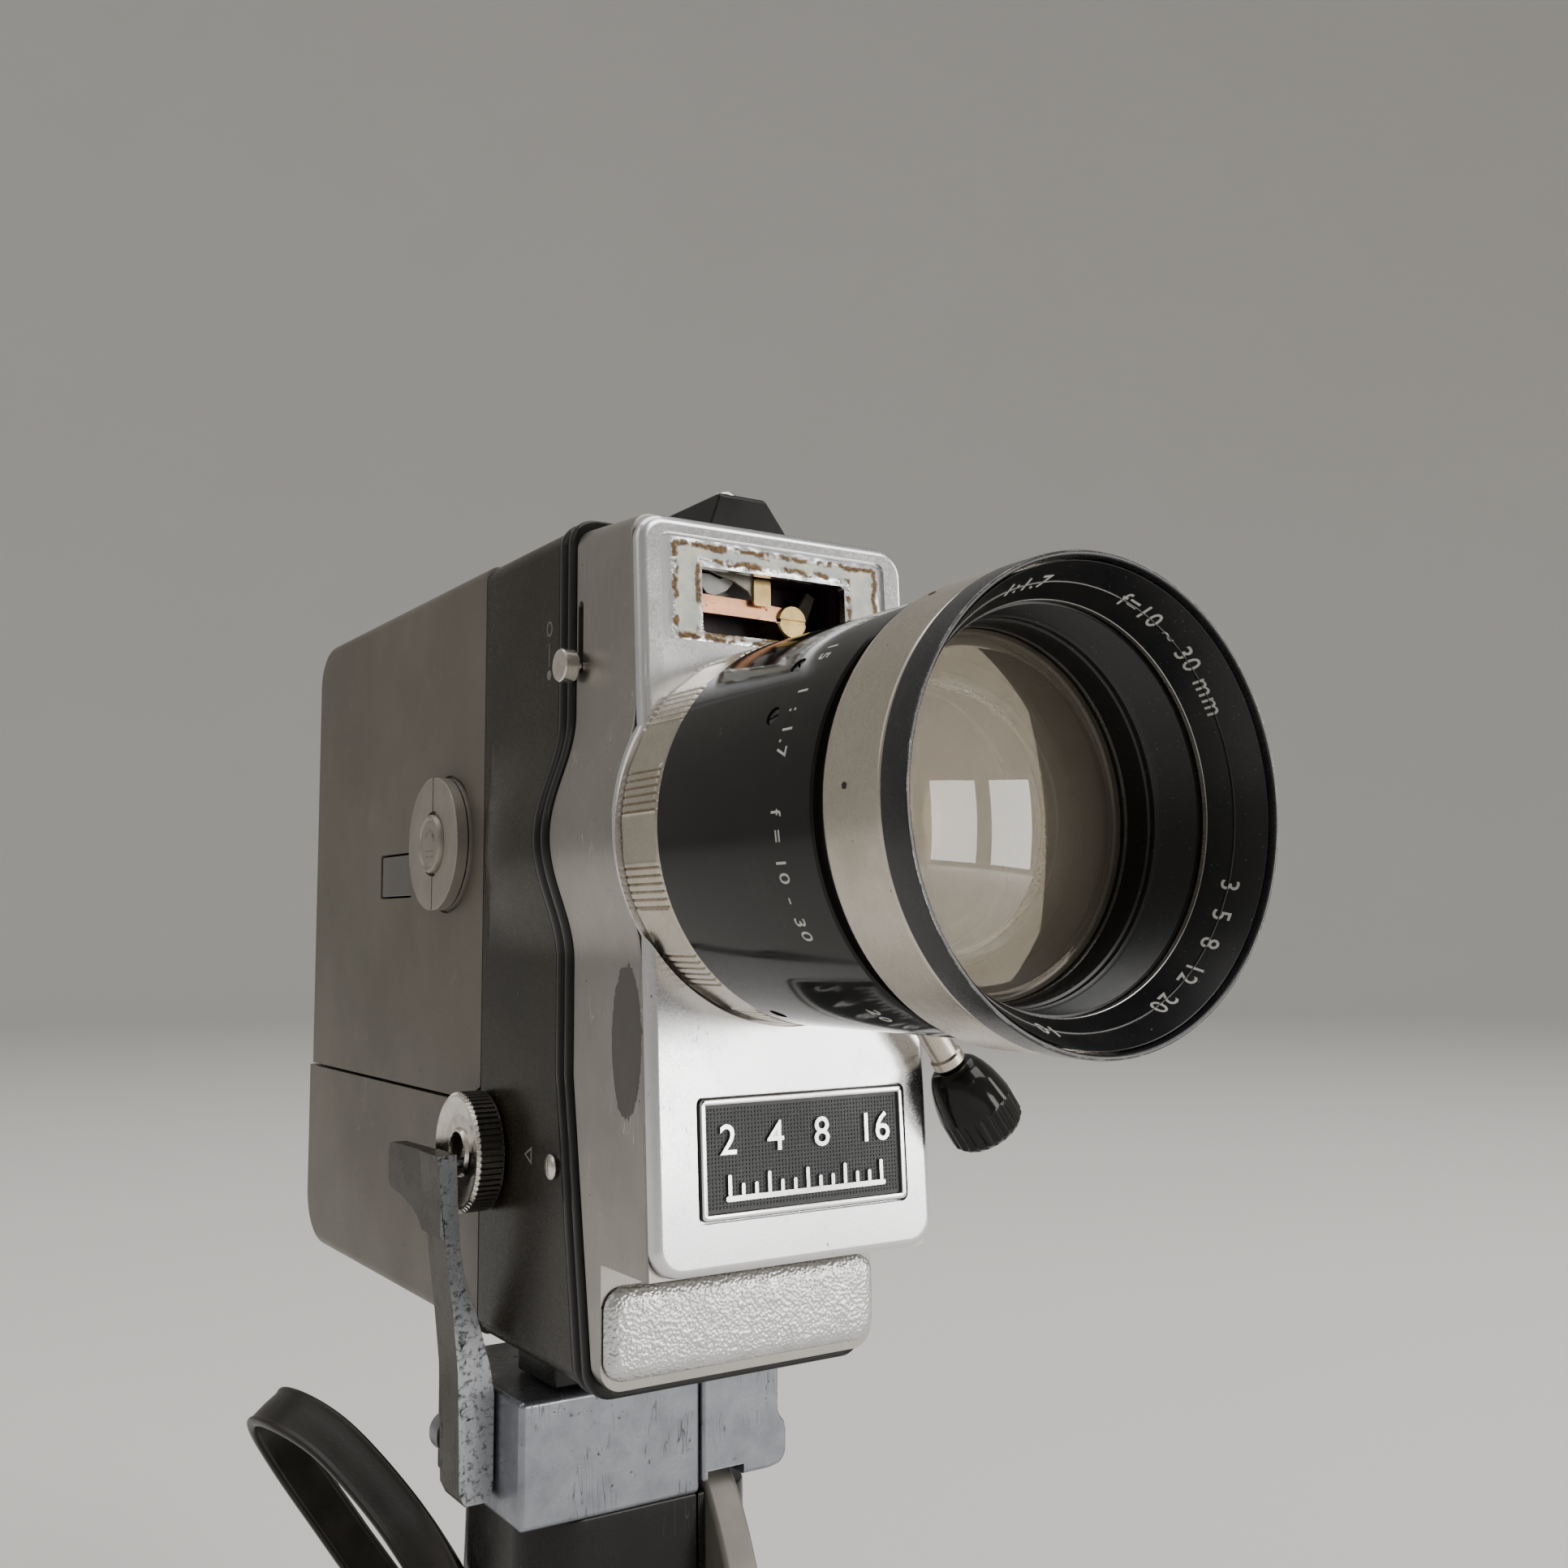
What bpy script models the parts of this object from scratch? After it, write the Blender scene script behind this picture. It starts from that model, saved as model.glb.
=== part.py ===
"""Hand-held cine camera with a zoom lens on a pistol grip.

Everything is modelled about the lens axis: X is to the right of someone who faces the lens's
front, Y runs from the lens towards the eyepiece, Z is up, in millimetres. The "camera" empty
moves that frame so that the world's origin is the middle of the grip's flat base.
"""

import math

import bmesh
import bpy
from mathutils import Matrix, Vector

MM = 0.001
GAP = 0.3
WALL = 1.8

# Grip base seen from the lens axis
BASE_Y = 58.0
BASE_Z = -200.0

# Body box
HALF = 24.0
TOP = 49.8
BOTTOM = -82.0
BACK = 157.5
CORNER = 3.5
SWELL = 4.3
SWELL_REACH = 19.0
LEAN = 0.055
PLATE_Y = -1.6
PLATE_THICK = 2.0
HOUSING_TOP = 47.0
HOUSING_BACK = 21.2
GASKET_FRONT, GASKET_BACK = 21.5, 27.4
GASKET_PROUD = 0.5
BAND_FRONT, BAND_BACK = 27.7, 57.7
SEAM_LEAN, LEAN_FROM = 0.16, -36.0
REAR_FRONT = 58.0
SEAM_Z = -43.5
DOOR_SEAM_X = -18.0
CHAMBER_X = 3.7
COVER_PROUD = 2.0
LEDGE_TOP, LEDGE_BOTTOM, LEDGE_Y = -62.6, -78.3, 9.5

# Lens
RIM_R = 29.0
BARREL_R = 27.9
RIM_FRONT, RIM_BACK = -68.1, -63.4
FOCUS_BACK = -52.0
BARREL_STEP = -48.9
BARREL_BACK = -11.9
ZOOM_FRONT, ZOOM_BACK = -11.6, -0.9
MOUNT_R = 20.2
KNOB_ANGLE = -54.0
KNOB_Y = -7.9

# Controls on the left side
LOCK_Y, LOCK_Z, LOCK_R = 75.0, 1.5, 12.0
DIAL_Y, DIAL_Z, DIAL_R = 55.0, -50.9, 9.9
DIAL_FACE = -29.4
BOSS_R, BOSS_SEAT_R, BOSS_FACE = 5.3, 5.9, -27.9
SCREW_Y, SCREW_Z = 28.2, -50.4
SLOT_Y, SLOT_Z, SLOT_TRAVEL = 19.9, 26.3, 8.8

# Mechanism
GATE_Y = 62.0
SHUTTER = (2.0, -12.5, 16.5)
MOTOR_Y, MOTOR_Z = 82.0, -24.0
GEAR_R, PINION_R = 14.0, 3.5
GEAR_TEETH, PINION_TEETH = 48, 12
SPINDLE_Y, SPINDLE_Z = 112.0, 4.0

# Grip
BLOCK_TOP, BLOCK_BOTTOM = -88.5, -108.5
BLOCK_FRONT, BLOCK_BACK = 39.5, 76.0
SPLIT_X = 8.9
PIVOT_X, PIVOT_Z = -27.0, -98.0
TRIGGER_X, TRIGGER_WIDE = 13.7, 6.2
TRIGGER_Y, TRIGGER_Z = 48.0, -113.0
STRAP_WIDE, STRAP_THICK = 8.5, 2.2

ROUND = 24
SMALL_ROUND = 12
LENS_ROUND = 36


# ---------------------------------------------------------------- shapes
def clear_scene():
    for obj in list(bpy.data.objects):
        bpy.data.objects.remove(obj, do_unlink=True)


def paint(name, rgb, roughness, metallic):
    material = bpy.data.materials.get(name) or bpy.data.materials.new(name)
    material.use_nodes = True
    shader = material.node_tree.nodes["Principled BSDF"]
    shader.inputs["Base Color"].default_value = (*rgb, 1.0)
    shader.inputs["Roughness"].default_value = roughness
    shader.inputs["Metallic"].default_value = metallic
    return material


def arc(cx, cz, radius, start, end, steps):
    """Points on a circle, from one angle to another in degrees, both ends included."""
    angles = [math.radians(start + (end - start) * i / steps) for i in range(steps + 1)]
    return [(cx + radius * math.cos(a), cz + radius * math.sin(a)) for a in angles]


def node(name, shape, material, parent, origin=(0, 0, 0)):
    """Makes the object of a bmesh given in millimetres about the lens axis, with its own origin."""
    bmesh.ops.recalc_face_normals(shape, faces=shape.faces)
    bmesh.ops.translate(shape, verts=shape.verts, vec=-Vector(origin))
    bmesh.ops.scale(shape, verts=shape.verts, vec=(MM, MM, MM))
    mesh = bpy.data.meshes.new(name)
    shape.to_mesh(mesh)
    shape.free()
    mesh.shade_smooth()
    mesh.set_sharp_from_angle(angle=math.radians(32))
    obj = bpy.data.objects.new(name, mesh)
    bpy.context.scene.collection.objects.link(obj)
    obj.parent = parent
    obj.location = Vector(origin) * MM
    if material:
        mesh.materials.append(material)
    return obj


def skin(rings, closed=False):
    """A solid through rings of equal length; closed joins the last ring to the first."""
    shape = bmesh.new()
    loops = [[shape.verts.new(point) for point in ring] for ring in rings]
    count = len(loops[0])
    pairs = list(zip(loops, loops[1:]))
    if closed:
        pairs.append((loops[-1], loops[0]))
    for first, second in pairs:
        for i in range(count):
            j = (i + 1) % count
            shape.faces.new((first[i], first[j], second[j], second[i]))
    if not closed:
        shape.faces.new(loops[0])
        shape.faces.new(loops[-1])
    return shape


def place(axis, across, up, along):
    """A point from two coordinates across an axis and one along it."""
    return {"X": (along, across, up), "Y": (across, along, up), "Z": (across, up, along)}[axis]


def prism(axis, outline, low, high):
    """An outline across an axis, extruded along it."""
    return skin([[place(axis, a, b, end) for a, b in outline] for end in (low, high)])


def box(x0, x1, y0, y1, z0, z1):
    return prism("Z", [(x0, y0), (x1, y0), (x1, y1), (x0, y1)], z0, z1)


def turned(axis, profile, centre=(0, 0), steps=ROUND):
    """A closed (radius, along) profile turned about an axis at centre; radius 0 may start and end it."""
    solid = profile[0][0] == 0
    rings = []
    for radius, along in profile[1:-1] if solid else profile:
        angles = [2 * math.pi * i / steps for i in range(steps)]
        rings.append(
            [
                place(axis, centre[0] + radius * math.cos(a), centre[1] + radius * math.sin(a), along)
                for a in angles
            ]
        )
    return skin(rings, closed=not solid)


def disc(axis, radius, low, high, centre=(0, 0), steps=ROUND, chamfer=0.0):
    """A round disc or rod with chamfered edges."""
    if not chamfer:
        return turned(axis, [(0, low), (radius, low), (radius, high), (0, high)], centre, steps)
    edge = radius - chamfer
    profile = [(0, low), (edge, low), (radius, low + chamfer), (radius, high - chamfer), (edge, high), (0, high)]
    return turned(axis, profile, centre, steps)


def ring(axis, inner, outer, low, high, centre=(0, 0), steps=ROUND):
    """A round tube."""
    return turned(axis, [(inner, low), (outer, low), (outer, high), (inner, high)], centre, steps)


def rounded(a0, a1, b0, b1, radii, steps=4):
    """A rectangle with a radius at each corner: low-low, high-low, high-high, low-high."""
    corners = (
        (a0 + radii[0], b0 + radii[0], 180),
        (a1 - radii[1], b0 + radii[1], 270),
        (a1 - radii[2], b1 - radii[2], 0),
        (a0 + radii[3], b1 - radii[3], 90),
    )
    points = []
    for radius, (a, b, start) in zip(radii, corners):
        points += arc(a, b, radius, start, start + 90, steps) if radius else [(a, b)]
    return points


def trim(obj, operation, shape, name):
    """Cuts a shape from an object, or joins it on, with a Boolean and a hidden helper."""
    helper = node(f"{obj.name}_{name}", shape, None, obj.parent)
    helper.hide_render = True
    helper.hide_viewport = True
    helper.display_type = "WIRE"
    modifier = obj.modifiers.new(name, "BOOLEAN")
    modifier.operation = operation
    modifier.object = helper


def cut(obj, shape, name):
    trim(obj, "DIFFERENCE", shape, name)


def join(obj, shape, name):
    trim(obj, "UNION", shape, name)


def soften(obj, width, segments=2, angle=40):
    bevel = obj.modifiers.new("edges", "BEVEL")
    bevel.width = width * MM
    bevel.segments = segments
    bevel.limit_method = "ANGLE"
    bevel.angle_limit = math.radians(angle)


# ---------------------------------------------------------------- body outline
def swell(z, height):
    """How far the sides stand out beside the lens at a height."""
    if abs(z) >= SWELL_REACH:
        return 0.0
    return height * math.cos(math.pi * z / (2 * SWELL_REACH)) ** 2


def body_ring(y, top, bottom, inset, height):
    """The body's outline across Y, set in from its outer face, as a ring of points at depth y."""
    half = HALF - inset
    radius = max(CORNER - inset, 0.8)
    high, low = top - inset, bottom + inset
    levels = [SWELL_REACH * (1 - i / 4) for i in range(9)] + [LEAN_FROM]
    points = arc(half - radius, high - radius, radius, 0, 90, 2)
    points += arc(-half + radius, high - radius, radius, 90, 180, 2)
    points += [(-half - swell(z, height), z) for z in levels]
    points += arc(-half + radius, low + radius, radius, 180, 270, 2)
    points += arc(half - radius, low + radius, radius, 270, 360, 2)
    points += [(half + swell(z, height), z) for z in reversed(levels)]
    return [(x, y(z) if callable(y) else y, z) for x, z in points]


def leaning(y):
    """The seam's depth at a height: it leans forward below the lens."""
    return lambda z: y - SEAM_LEAN * max(LEAN_FROM - z, 0.0)


def band_swell(y):
    """The side bulges end behind the gasket in a rounded nose."""
    start, end = 35.0, 54.5
    if y <= start:
        return SWELL
    return SWELL * math.sqrt(max(1 - ((y - start) / (end - start)) ** 2, 0.0))


def side_outline(front, back, low, high, low_radius, high_radius):
    return rounded(front, back, low, high, (0, low_radius, high_radius, 0), 5)


# ---------------------------------------------------------------- front
def plate_back(z):
    return PLATE_Y + PLATE_THICK + LEAN * z


def make_housing(camera):
    silver = paint("satin_aluminium", (0.62, 0.60, 0.57), 0.35, 1.0)

    def front(z):
        return plate_back(z) + GAP

    rings = [
        body_ring(front, HOUSING_TOP, -80.5, 0, SWELL),
        body_ring(leaning(HOUSING_BACK), TOP - 1.4, -80.5, 0, SWELL),
    ]
    housing = node("front_housing", skin(rings), silver, camera)

    def inside(z):
        return front(z) + WALL

    hollow = [
        body_ring(inside, HOUSING_TOP, -80.5, WALL, SWELL),
        body_ring(leaning(HOUSING_BACK + 1), TOP - 1.4, -80.5, WALL, SWELL),
    ]
    cut(housing, skin(hollow), "hollow")
    cut(housing, box(-40, 40, -20, LEDGE_Y + WALL + GAP, -90, LEDGE_TOP + GAP), "step")
    cheek = rounded(-HALF + WALL, HALF - WALL, -80.5 + WALL, LEDGE_TOP + WALL, (1, 1, 1, 1), 2)
    join(housing, prism("Y", [(x * 1.04, z) for x, z in cheek], LEDGE_Y + WALL + GAP, LEDGE_Y + 2 * WALL + GAP), "sill")
    join(housing, box(-22.4, 22.4, 1.5, LEDGE_Y + 2 * WALL, LEDGE_TOP + GAP, LEDGE_TOP + GAP + WALL), "shelf")
    cut(housing, disc("Y", MOUNT_R + 0.6, -10, 12), "lens_hole")
    cut(housing, box(-15.4, 14.4, -6, 9, 27.4, 41.6), "window")
    slot = rounded(SLOT_Y - 0.9, SLOT_Y + 0.9, SLOT_Z - 1.4, SLOT_Z + SLOT_TRAVEL + 1.4, (0.85,) * 4, 3)
    cut(housing, prism("X", slot, -26, -20), "slot")


def plate_shape():
    """The front plate's outline across Y: a rounded rectangle with a round ear beside the lens."""
    ear = 28.3
    cross = math.degrees(math.acos(HALF / ear))
    right = arc(0, 0, ear, -cross, cross, 6)
    left = [(-x, z) for x, z in reversed(right)]
    low, high, radius = -62.0, 46.5, 4.0
    points = arc(HALF - radius, low + radius, radius, 270, 360, 4) + right
    points += arc(HALF - radius, high - radius, radius, 0, 90, 4)
    points += arc(-HALF + radius, high - radius, radius, 90, 180, 4)
    points += [(x, z) for x, z in reversed(left)][::-1]
    points += arc(-HALF + radius, low + radius, radius, 180, 270, 4)
    return points


def make_front_plate(camera):
    chrome = paint("satin_chrome", (0.80, 0.80, 0.82), 0.18, 1.0)
    outline = plate_shape()
    rings = [[(x, plate_back(z) - depth, z) for x, z in outline] for depth in (PLATE_THICK, 0)]
    plate = node("front_plate", skin(rings), chrome, camera)
    soften(plate, 0.7, 2, 50)
    cut(plate, disc("Y", BARREL_R + 0.5, -20, -0.5, steps=LENS_ROUND), "lens_seat")
    cut(plate, disc("Y", MOUNT_R + 0.6, -10, 12), "lens_hole")
    cut(plate, box(-13.4, 12.5, -6, 9, 29.5, 39.5), "opening")
    recess = rounded(-20.5, 20.0, 27.9, 44.0, (1.5,) * 4, 3)
    floor = PLATE_THICK - 0.6
    rings = [[(x, plate_back(z) - depth, z) for x, z in recess] for depth in (9, floor)]
    cut(plate, skin(rings), "glass_seat")
    badge = [(x, z) for x, z in rounded(-17.0, 19.4, -55.0, -37.5, (1.2,) * 4, 3)]
    rings = [[(x, plate_back(z) - depth, z) for x, z in badge] for depth in (9, 0.9)]
    cut(plate, skin(rings), "badge_seat")


def make_nameplate(camera):
    black = paint("badge_black", (0.03, 0.03, 0.03), 0.4, 0.0)

    def slab(margin, front, back):
        outline = rounded(-16.7 + margin, 19.1 - margin, -54.7 + margin, -37.8 - margin, (0.9,) * 4, 2)
        return [[(x, plate_back(z) - depth, z) for x, z in outline] for depth in (front, back)]

    plate = node("nameplate", skin(slab(1.0, 2.1, 1.2)), black, camera)
    outer, inner = slab(0, 2.4, 1.2), slab(1.2, 2.4, 1.2)
    join(plate, skin([outer[0], outer[1], inner[1], inner[0]], closed=True), "frame")


def make_ledge(camera):
    hammered = paint("hammered_chrome", (0.70, 0.70, 0.70), 0.35, 1.0)
    outline = rounded(-23.6, 23.6, LEDGE_BOTTOM, LEDGE_TOP, (3.2,) * 4, 4)
    ledge = node("lower_trim", prism("Y", outline, LEDGE_Y, LEDGE_Y + WALL), hammered, camera)
    soften(ledge, 0.6, 2)


def make_window_parts(camera):
    dark = paint("dark_tray", (0.05, 0.02, 0.02), 0.6, 0.0)
    grey = paint("lever_grey", (0.45, 0.45, 0.40), 0.5, 0.6)
    tray = node("window_tray", box(-15.0, 14.0, 4.8, 13.0, 27.8, 41.2), dark, camera)
    cut(tray, box(-14.2, 13.2, 0, 12.2, 28.6, 40.4), "hollow")
    cut(tray, disc("Y", 1.7, 11, 15, (9.0, 34.0), SMALL_ROUND), "arbor_hole")
    arm = [(9.8, 32.6), (12.4, 39.0), (11.0, 39.8), (7.9, 35.0), (-6.0, 38.6), (-6.4, 37.4), (7.6, 32.7)]
    lever = node("meter_lever", prism("Y", arm, 9.2, 10.2), grey, camera, (9.0, 9.7, 34.0))
    join(lever, disc("Y", 1.3, 9.0, 13.6, (9.0, 34.0), SMALL_ROUND), "arbor")


# ---------------------------------------------------------------- body shells
def make_gasket(camera):
    gloss = paint("gasket_black", (0.01, 0.01, 0.01), 0.15, 0.0)
    outer = [body_ring(leaning(y), TOP, BOTTOM, -GASKET_PROUD, SWELL) for y in (GASKET_FRONT, GASKET_BACK)]
    inner = [body_ring(leaning(y), TOP, BOTTOM, 2.6, SWELL) for y in (GASKET_BACK, GASKET_FRONT)]
    node("body_gasket", skin(outer + inner, closed=True), gloss, camera)


def make_middle_band(camera):
    brown = paint("band_brown", (0.06, 0.045, 0.035), 0.4, 0.2)
    stations = [35 + 19.5 * math.sin(math.pi / 2 * i / 4) for i in range(5)] + [BAND_BACK]
    outer = [body_ring(leaning(BAND_FRONT), TOP, BOTTOM, 0, SWELL)]
    outer += [body_ring(y, TOP, BOTTOM, 0, band_swell(y)) for y in stations]
    inner = [body_ring(y, TOP, BOTTOM, WALL, band_swell(y)) for y in reversed(stations)]
    inner.append(body_ring(leaning(BAND_FRONT), TOP, BOTTOM, WALL, SWELL))
    band = node("middle_band", skin(outer + inner, closed=True), brown, camera)
    cut(band, disc("X", 1.1, -26, -20, (SCREW_Y, SCREW_Z), SMALL_ROUND), "screw_hole")
    cut(band, disc("Z", 3.6, -90, -78, (0, 49), SMALL_ROUND), "tripod_hole")
    cut(band, disc("X", 4.2, -40, 40, (DIAL_Y, DIAL_Z), SMALL_ROUND), "control_notch")
    chrome = paint("screw_chrome", (0.75, 0.72, 0.68), 0.25, 1.0)
    profile = [(0, -20), (0.9, -20), (0.9, -24.3), (1.9, -24.3), (1.9, -24.7), (1.2, -25.0), (0, -25.0)]
    node("band_screw", turned("X", profile, (SCREW_Y, SCREW_Z), SMALL_ROUND), chrome, camera)


def make_rear_shell(camera):
    grey = paint("warm_grey_paint", (0.22, 0.20, 0.17), 0.45, 0.3)
    outline = side_outline(REAR_FRONT, BACK, SEAM_Z + GAP, TOP, 0, 9)
    shell = node("rear_shell", prism("X", outline, DOOR_SEAM_X + GAP, HALF), grey, camera)
    soften(shell, 2.4, 2, 60)
    hollow = side_outline(REAR_FRONT - 5, BACK - WALL, SEAM_Z + 2, TOP - WALL, 0, 7)
    cut(shell, prism("X", hollow, -30, HALF - WALL), "hollow")
    cut(shell, disc("Y", 8.2, 150, 165, (8.8, 34.0)), "eyepiece_hole")
    for name, low, high in (("upper", 22.0, 34.0), ("lower", -28.0, -16.0)):
        knuckle = ring("Z", 1.2, 2.4, low, high, (DOOR_SEAM_X, BACK + 3.0), SMALL_ROUND)
        join(shell, knuckle, f"{name}_knuckle")
        leaf = box(DOOR_SEAM_X + 1.5, DOOR_SEAM_X + 8, BACK - 1, BACK + 1.2, low, high)
        join(shell, leaf, f"{name}_leaf")
        arm = box(DOOR_SEAM_X + 1.5, DOOR_SEAM_X + 3.2, BACK + 0.6, BACK + 3.0, low, high)
        join(shell, arm, f"{name}_arm")
    cut(shell, disc("Z", 1.15, -35, 45, (DOOR_SEAM_X, BACK + 3.0), SMALL_ROUND), "pin_hole")
    steel = paint("pin_steel", (0.6, 0.6, 0.6), 0.3, 1.0)
    node("door_hinge_pin", disc("Z", 0.95, -28.5, 34.5, (DOOR_SEAM_X, BACK + 3.0), SMALL_ROUND), steel, camera)


def make_film_door(camera):
    """The whole left wall of the film chamber, with its rim, swinging on the hinge at the back."""
    hinge = empty("door_hinge", camera, (DOOR_SEAM_X, BACK + 3.0, 0))
    grey = paint("warm_grey_paint", (0.22, 0.20, 0.17), 0.45, 0.3)
    outline = side_outline(REAR_FRONT, BACK, SEAM_Z + GAP, TOP, 0, 9)
    door = node("film_door", prism("X", outline, -HALF, DOOR_SEAM_X), grey, camera)
    soften(door, 2.4, 2, 60)
    hollow = side_outline(REAR_FRONT + WALL, BACK - WALL, SEAM_Z + 2.2, TOP - WALL, 0, 7)
    cut(door, prism("X", hollow, -HALF + WALL, -10), "hollow")
    cut(door, disc("X", 4.2, -30, -10, (LOCK_Y, LOCK_Z)), "lock_hole")
    cut(door, disc("X", LOCK_R + 0.5, -30, -23.4, (LOCK_Y, LOCK_Z), 40), "lock_seat")
    cut(door, box(-30, -10, 94, 111.7, -7.8, 0.9), "window")
    cut(door, disc("X", DIAL_R + 0.7, -30, -10, (DIAL_Y, DIAL_Z)), "dial_clearance")
    low, high = -15.6, 21.6
    join(door, ring("Z", 1.2, 2.4, low, high, (DOOR_SEAM_X, BACK + 3.0), SMALL_ROUND), "knuckle")
    join(door, box(DOOR_SEAM_X - 3.4, DOOR_SEAM_X - 1.5, BACK - 1, BACK + 1.2, low, high), "leaf")
    join(door, box(DOOR_SEAM_X - 3.2, DOOR_SEAM_X - 1.5, BACK + 0.6, BACK + 3.0, low, high), "arm")
    cut(door, disc("Z", 1.15, -35, 45, (DOOR_SEAM_X, BACK + 3.0), SMALL_ROUND), "pin_hole")
    keep_on(door, hinge)
    smoke = paint("smoked_window", (0.05, 0.045, 0.04), 0.1, 0.0)
    window = node("door_window", box(-23.8, -22.6, 94.3, 111.4, -7.5, 0.6), smoke, camera)
    keep_on(window, hinge)
    return hinge


def make_door_lock(camera, hinge):
    metal = paint("lock_grey", (0.42, 0.38, 0.33), 0.45, 0.8)
    spindle = empty("lock_spindle", camera, (-24.0, LOCK_Y, LOCK_Z))
    half_turn = arc(LOCK_Y + 0.2, LOCK_Z, LOCK_R, -90, 90, 16)
    lock = node("lock_disc", prism("X", half_turn, -26.95, -23.7), metal, camera)
    join(lock, disc("X", LOCK_R, -24.6, -23.7, (LOCK_Y, LOCK_Z), 40), "base")
    join(lock, disc("X", 3.9, -24.0, -19.9, (LOCK_Y, LOCK_Z), SMALL_ROUND), "shaft")
    cut(lock, disc("X", BOSS_SEAT_R, -30, -25.4, (LOCK_Y, LOCK_Z)), "boss_seat")
    outline = arc(LOCK_Y - 0.2, LOCK_Z, LOCK_R, 90, 270, 16)
    tab = node("lock_tab", prism("X", outline, -26.95, -24.9), metal, camera)
    join(tab, disc("X", BOSS_R, BOSS_FACE, -25.7, (LOCK_Y, LOCK_Z), ROUND), "boss")
    latch_arm = rounded(LOCK_Y - 3.2, LOCK_Y + 3.2, LOCK_Z - 3.2, LOCK_Z + 13, (2,) * 4, 3)
    latch = node("door_latch", prism("X", latch_arm, -19.6, -18.2), paint("pin_steel", (0.6, 0.6, 0.6), 0.3, 1.0), camera)
    keep_on(spindle, hinge)
    fold = empty("tab_fold", camera, (BOSS_FACE, LOCK_Y + BOSS_R + 0.05, LOCK_Z))
    keep_on(fold, spindle)
    keep_on(lock, spindle)
    keep_on(latch, spindle)
    keep_on(tab, fold)


def make_battery_cover(camera):
    grey = paint("warm_grey_paint", (0.22, 0.20, 0.17), 0.45, 0.3)
    outline = side_outline(REAR_FRONT, BACK + COVER_PROUD, BOTTOM, SEAM_Z - GAP, 11, 0)
    cover = node("battery_cover", prism("X", outline, -HALF, HALF), grey, camera)
    soften(cover, 2.4, 2, 60)
    hollow = side_outline(REAR_FRONT - 5, BACK, BOTTOM + WALL, SEAM_Z + 9, 9, 0)
    cut(cover, prism("X", hollow, -HALF + WALL, HALF - WALL), "hollow")
    notch = [(50, DIAL_Z - 4.3), (DIAL_Y, DIAL_Z - 4.3)] + arc(DIAL_Y, DIAL_Z, 4.3, -90, 90, 8)[1:]
    notch += [(50, DIAL_Z + 4.3)]
    cut(cover, prism("X", notch, -40, 40), "control_notch")
    make_battery_pack(camera)


def make_battery_pack(camera):
    """Four penlight cells held by a cross-shaped carrier."""
    foil = paint("cell_jacket", (0.35, 0.12, 0.05), 0.35, 0.3)
    radius, length, start, middle = 7.2, 48.0, 84.0, -62.8
    reach = radius + 0.4
    pack = node("battery_pack", box(-0.8, 0.8, start, start + length, middle - 14, middle + 14), foil, camera)
    join(pack, box(-14, 14, start + 2, start + length - 2, middle - 0.8, middle + 0.8), "shelf")
    for i, (side, level) in enumerate(((-1, -1), (1, -1), (-1, 1), (1, 1))):
        end = start + length
        profile = [(0, start), (radius, start), (radius, end), (2.6, end), (2.6, end + 1.8), (0, end + 1.8)]
        cell = turned("Y", profile, (side * reach, middle + level * reach), SMALL_ROUND)
        join(pack, cell, f"cell_{i + 1}")


def make_top(camera):
    black = paint("hump_black", (0.02, 0.02, 0.02), 0.35, 0.0)
    foot = TOP + GASKET_PROUD + GAP
    outline = [(2.0, foot), (21.5, foot), (14.2, 60.0), (5.3, 60.0)]
    hump = node("finder_hump", prism("Y", outline, 27.0, 118.0), black, camera)
    soften(hump, 0.8, 2)
    cut(hump, disc("Z", 1.2, 55, 63, (8.8, 31.0), SMALL_ROUND), "screw_hole")
    chrome = paint("screw_chrome", (0.75, 0.72, 0.68), 0.25, 1.0)
    profile = [(0, 61.3), (1.0, 61.3), (1.8, 60.9), (2.1, 60.3), (0.9, 60.3), (0.9, 55.3), (0, 55.3)]
    node("hump_screw", turned("Z", profile, (8.8, 31.0), SMALL_ROUND), chrome, camera)


def make_eyepiece(camera):
    centre = (8.8, 34.0)
    black = paint("tube_black", (0.03, 0.03, 0.03), 0.3, 0.0)
    rubber = paint("eyecup_rubber", (0.02, 0.02, 0.02), 0.8, 0.0)
    glass = paint("finder_glass", (0.15, 0.2, 0.22), 0.05, 0.0)
    tube = [(6.5, 154.4), (7.8, 154.4), (7.8, 158.0), (9.2, 158.0), (9.2, 166.0), (6.5, 166.0)]
    node("eyepiece_tube", turned("Y", tube, centre), black, camera)
    cup = [(9.5, 160.0), (11.0, 160.0), (11.4, 166.0), (14.0, 171.5), (13.0, 172.3), (9.5, 167.0)]
    node("eyecup", turned("Y", cup, centre), rubber, camera)
    lens = [(0, 157.5), (6.2, 158.3), (6.2, 160.0), (3.0, 160.8), (0, 161.0)]
    node("eyepiece_lens", turned("Y", lens, centre, SMALL_ROUND), glass, camera)


# ---------------------------------------------------------------- controls
def empty(name, parent, at):
    anchor = bpy.data.objects.new(name, None)
    bpy.context.scene.collection.objects.link(anchor)
    anchor.parent = parent
    anchor.location = Vector(at) * MM
    return anchor


def keep_on(obj, anchor):
    """Parents an object to a joint's empty without moving it; helpers of its Booleans stay put."""
    bpy.context.view_layer.update()
    world = obj.matrix_world.copy()
    obj.parent = anchor
    obj.matrix_parent_inverse = anchor.matrix_world.inverted()
    obj.matrix_world = world
    bpy.context.view_layer.update()


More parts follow.
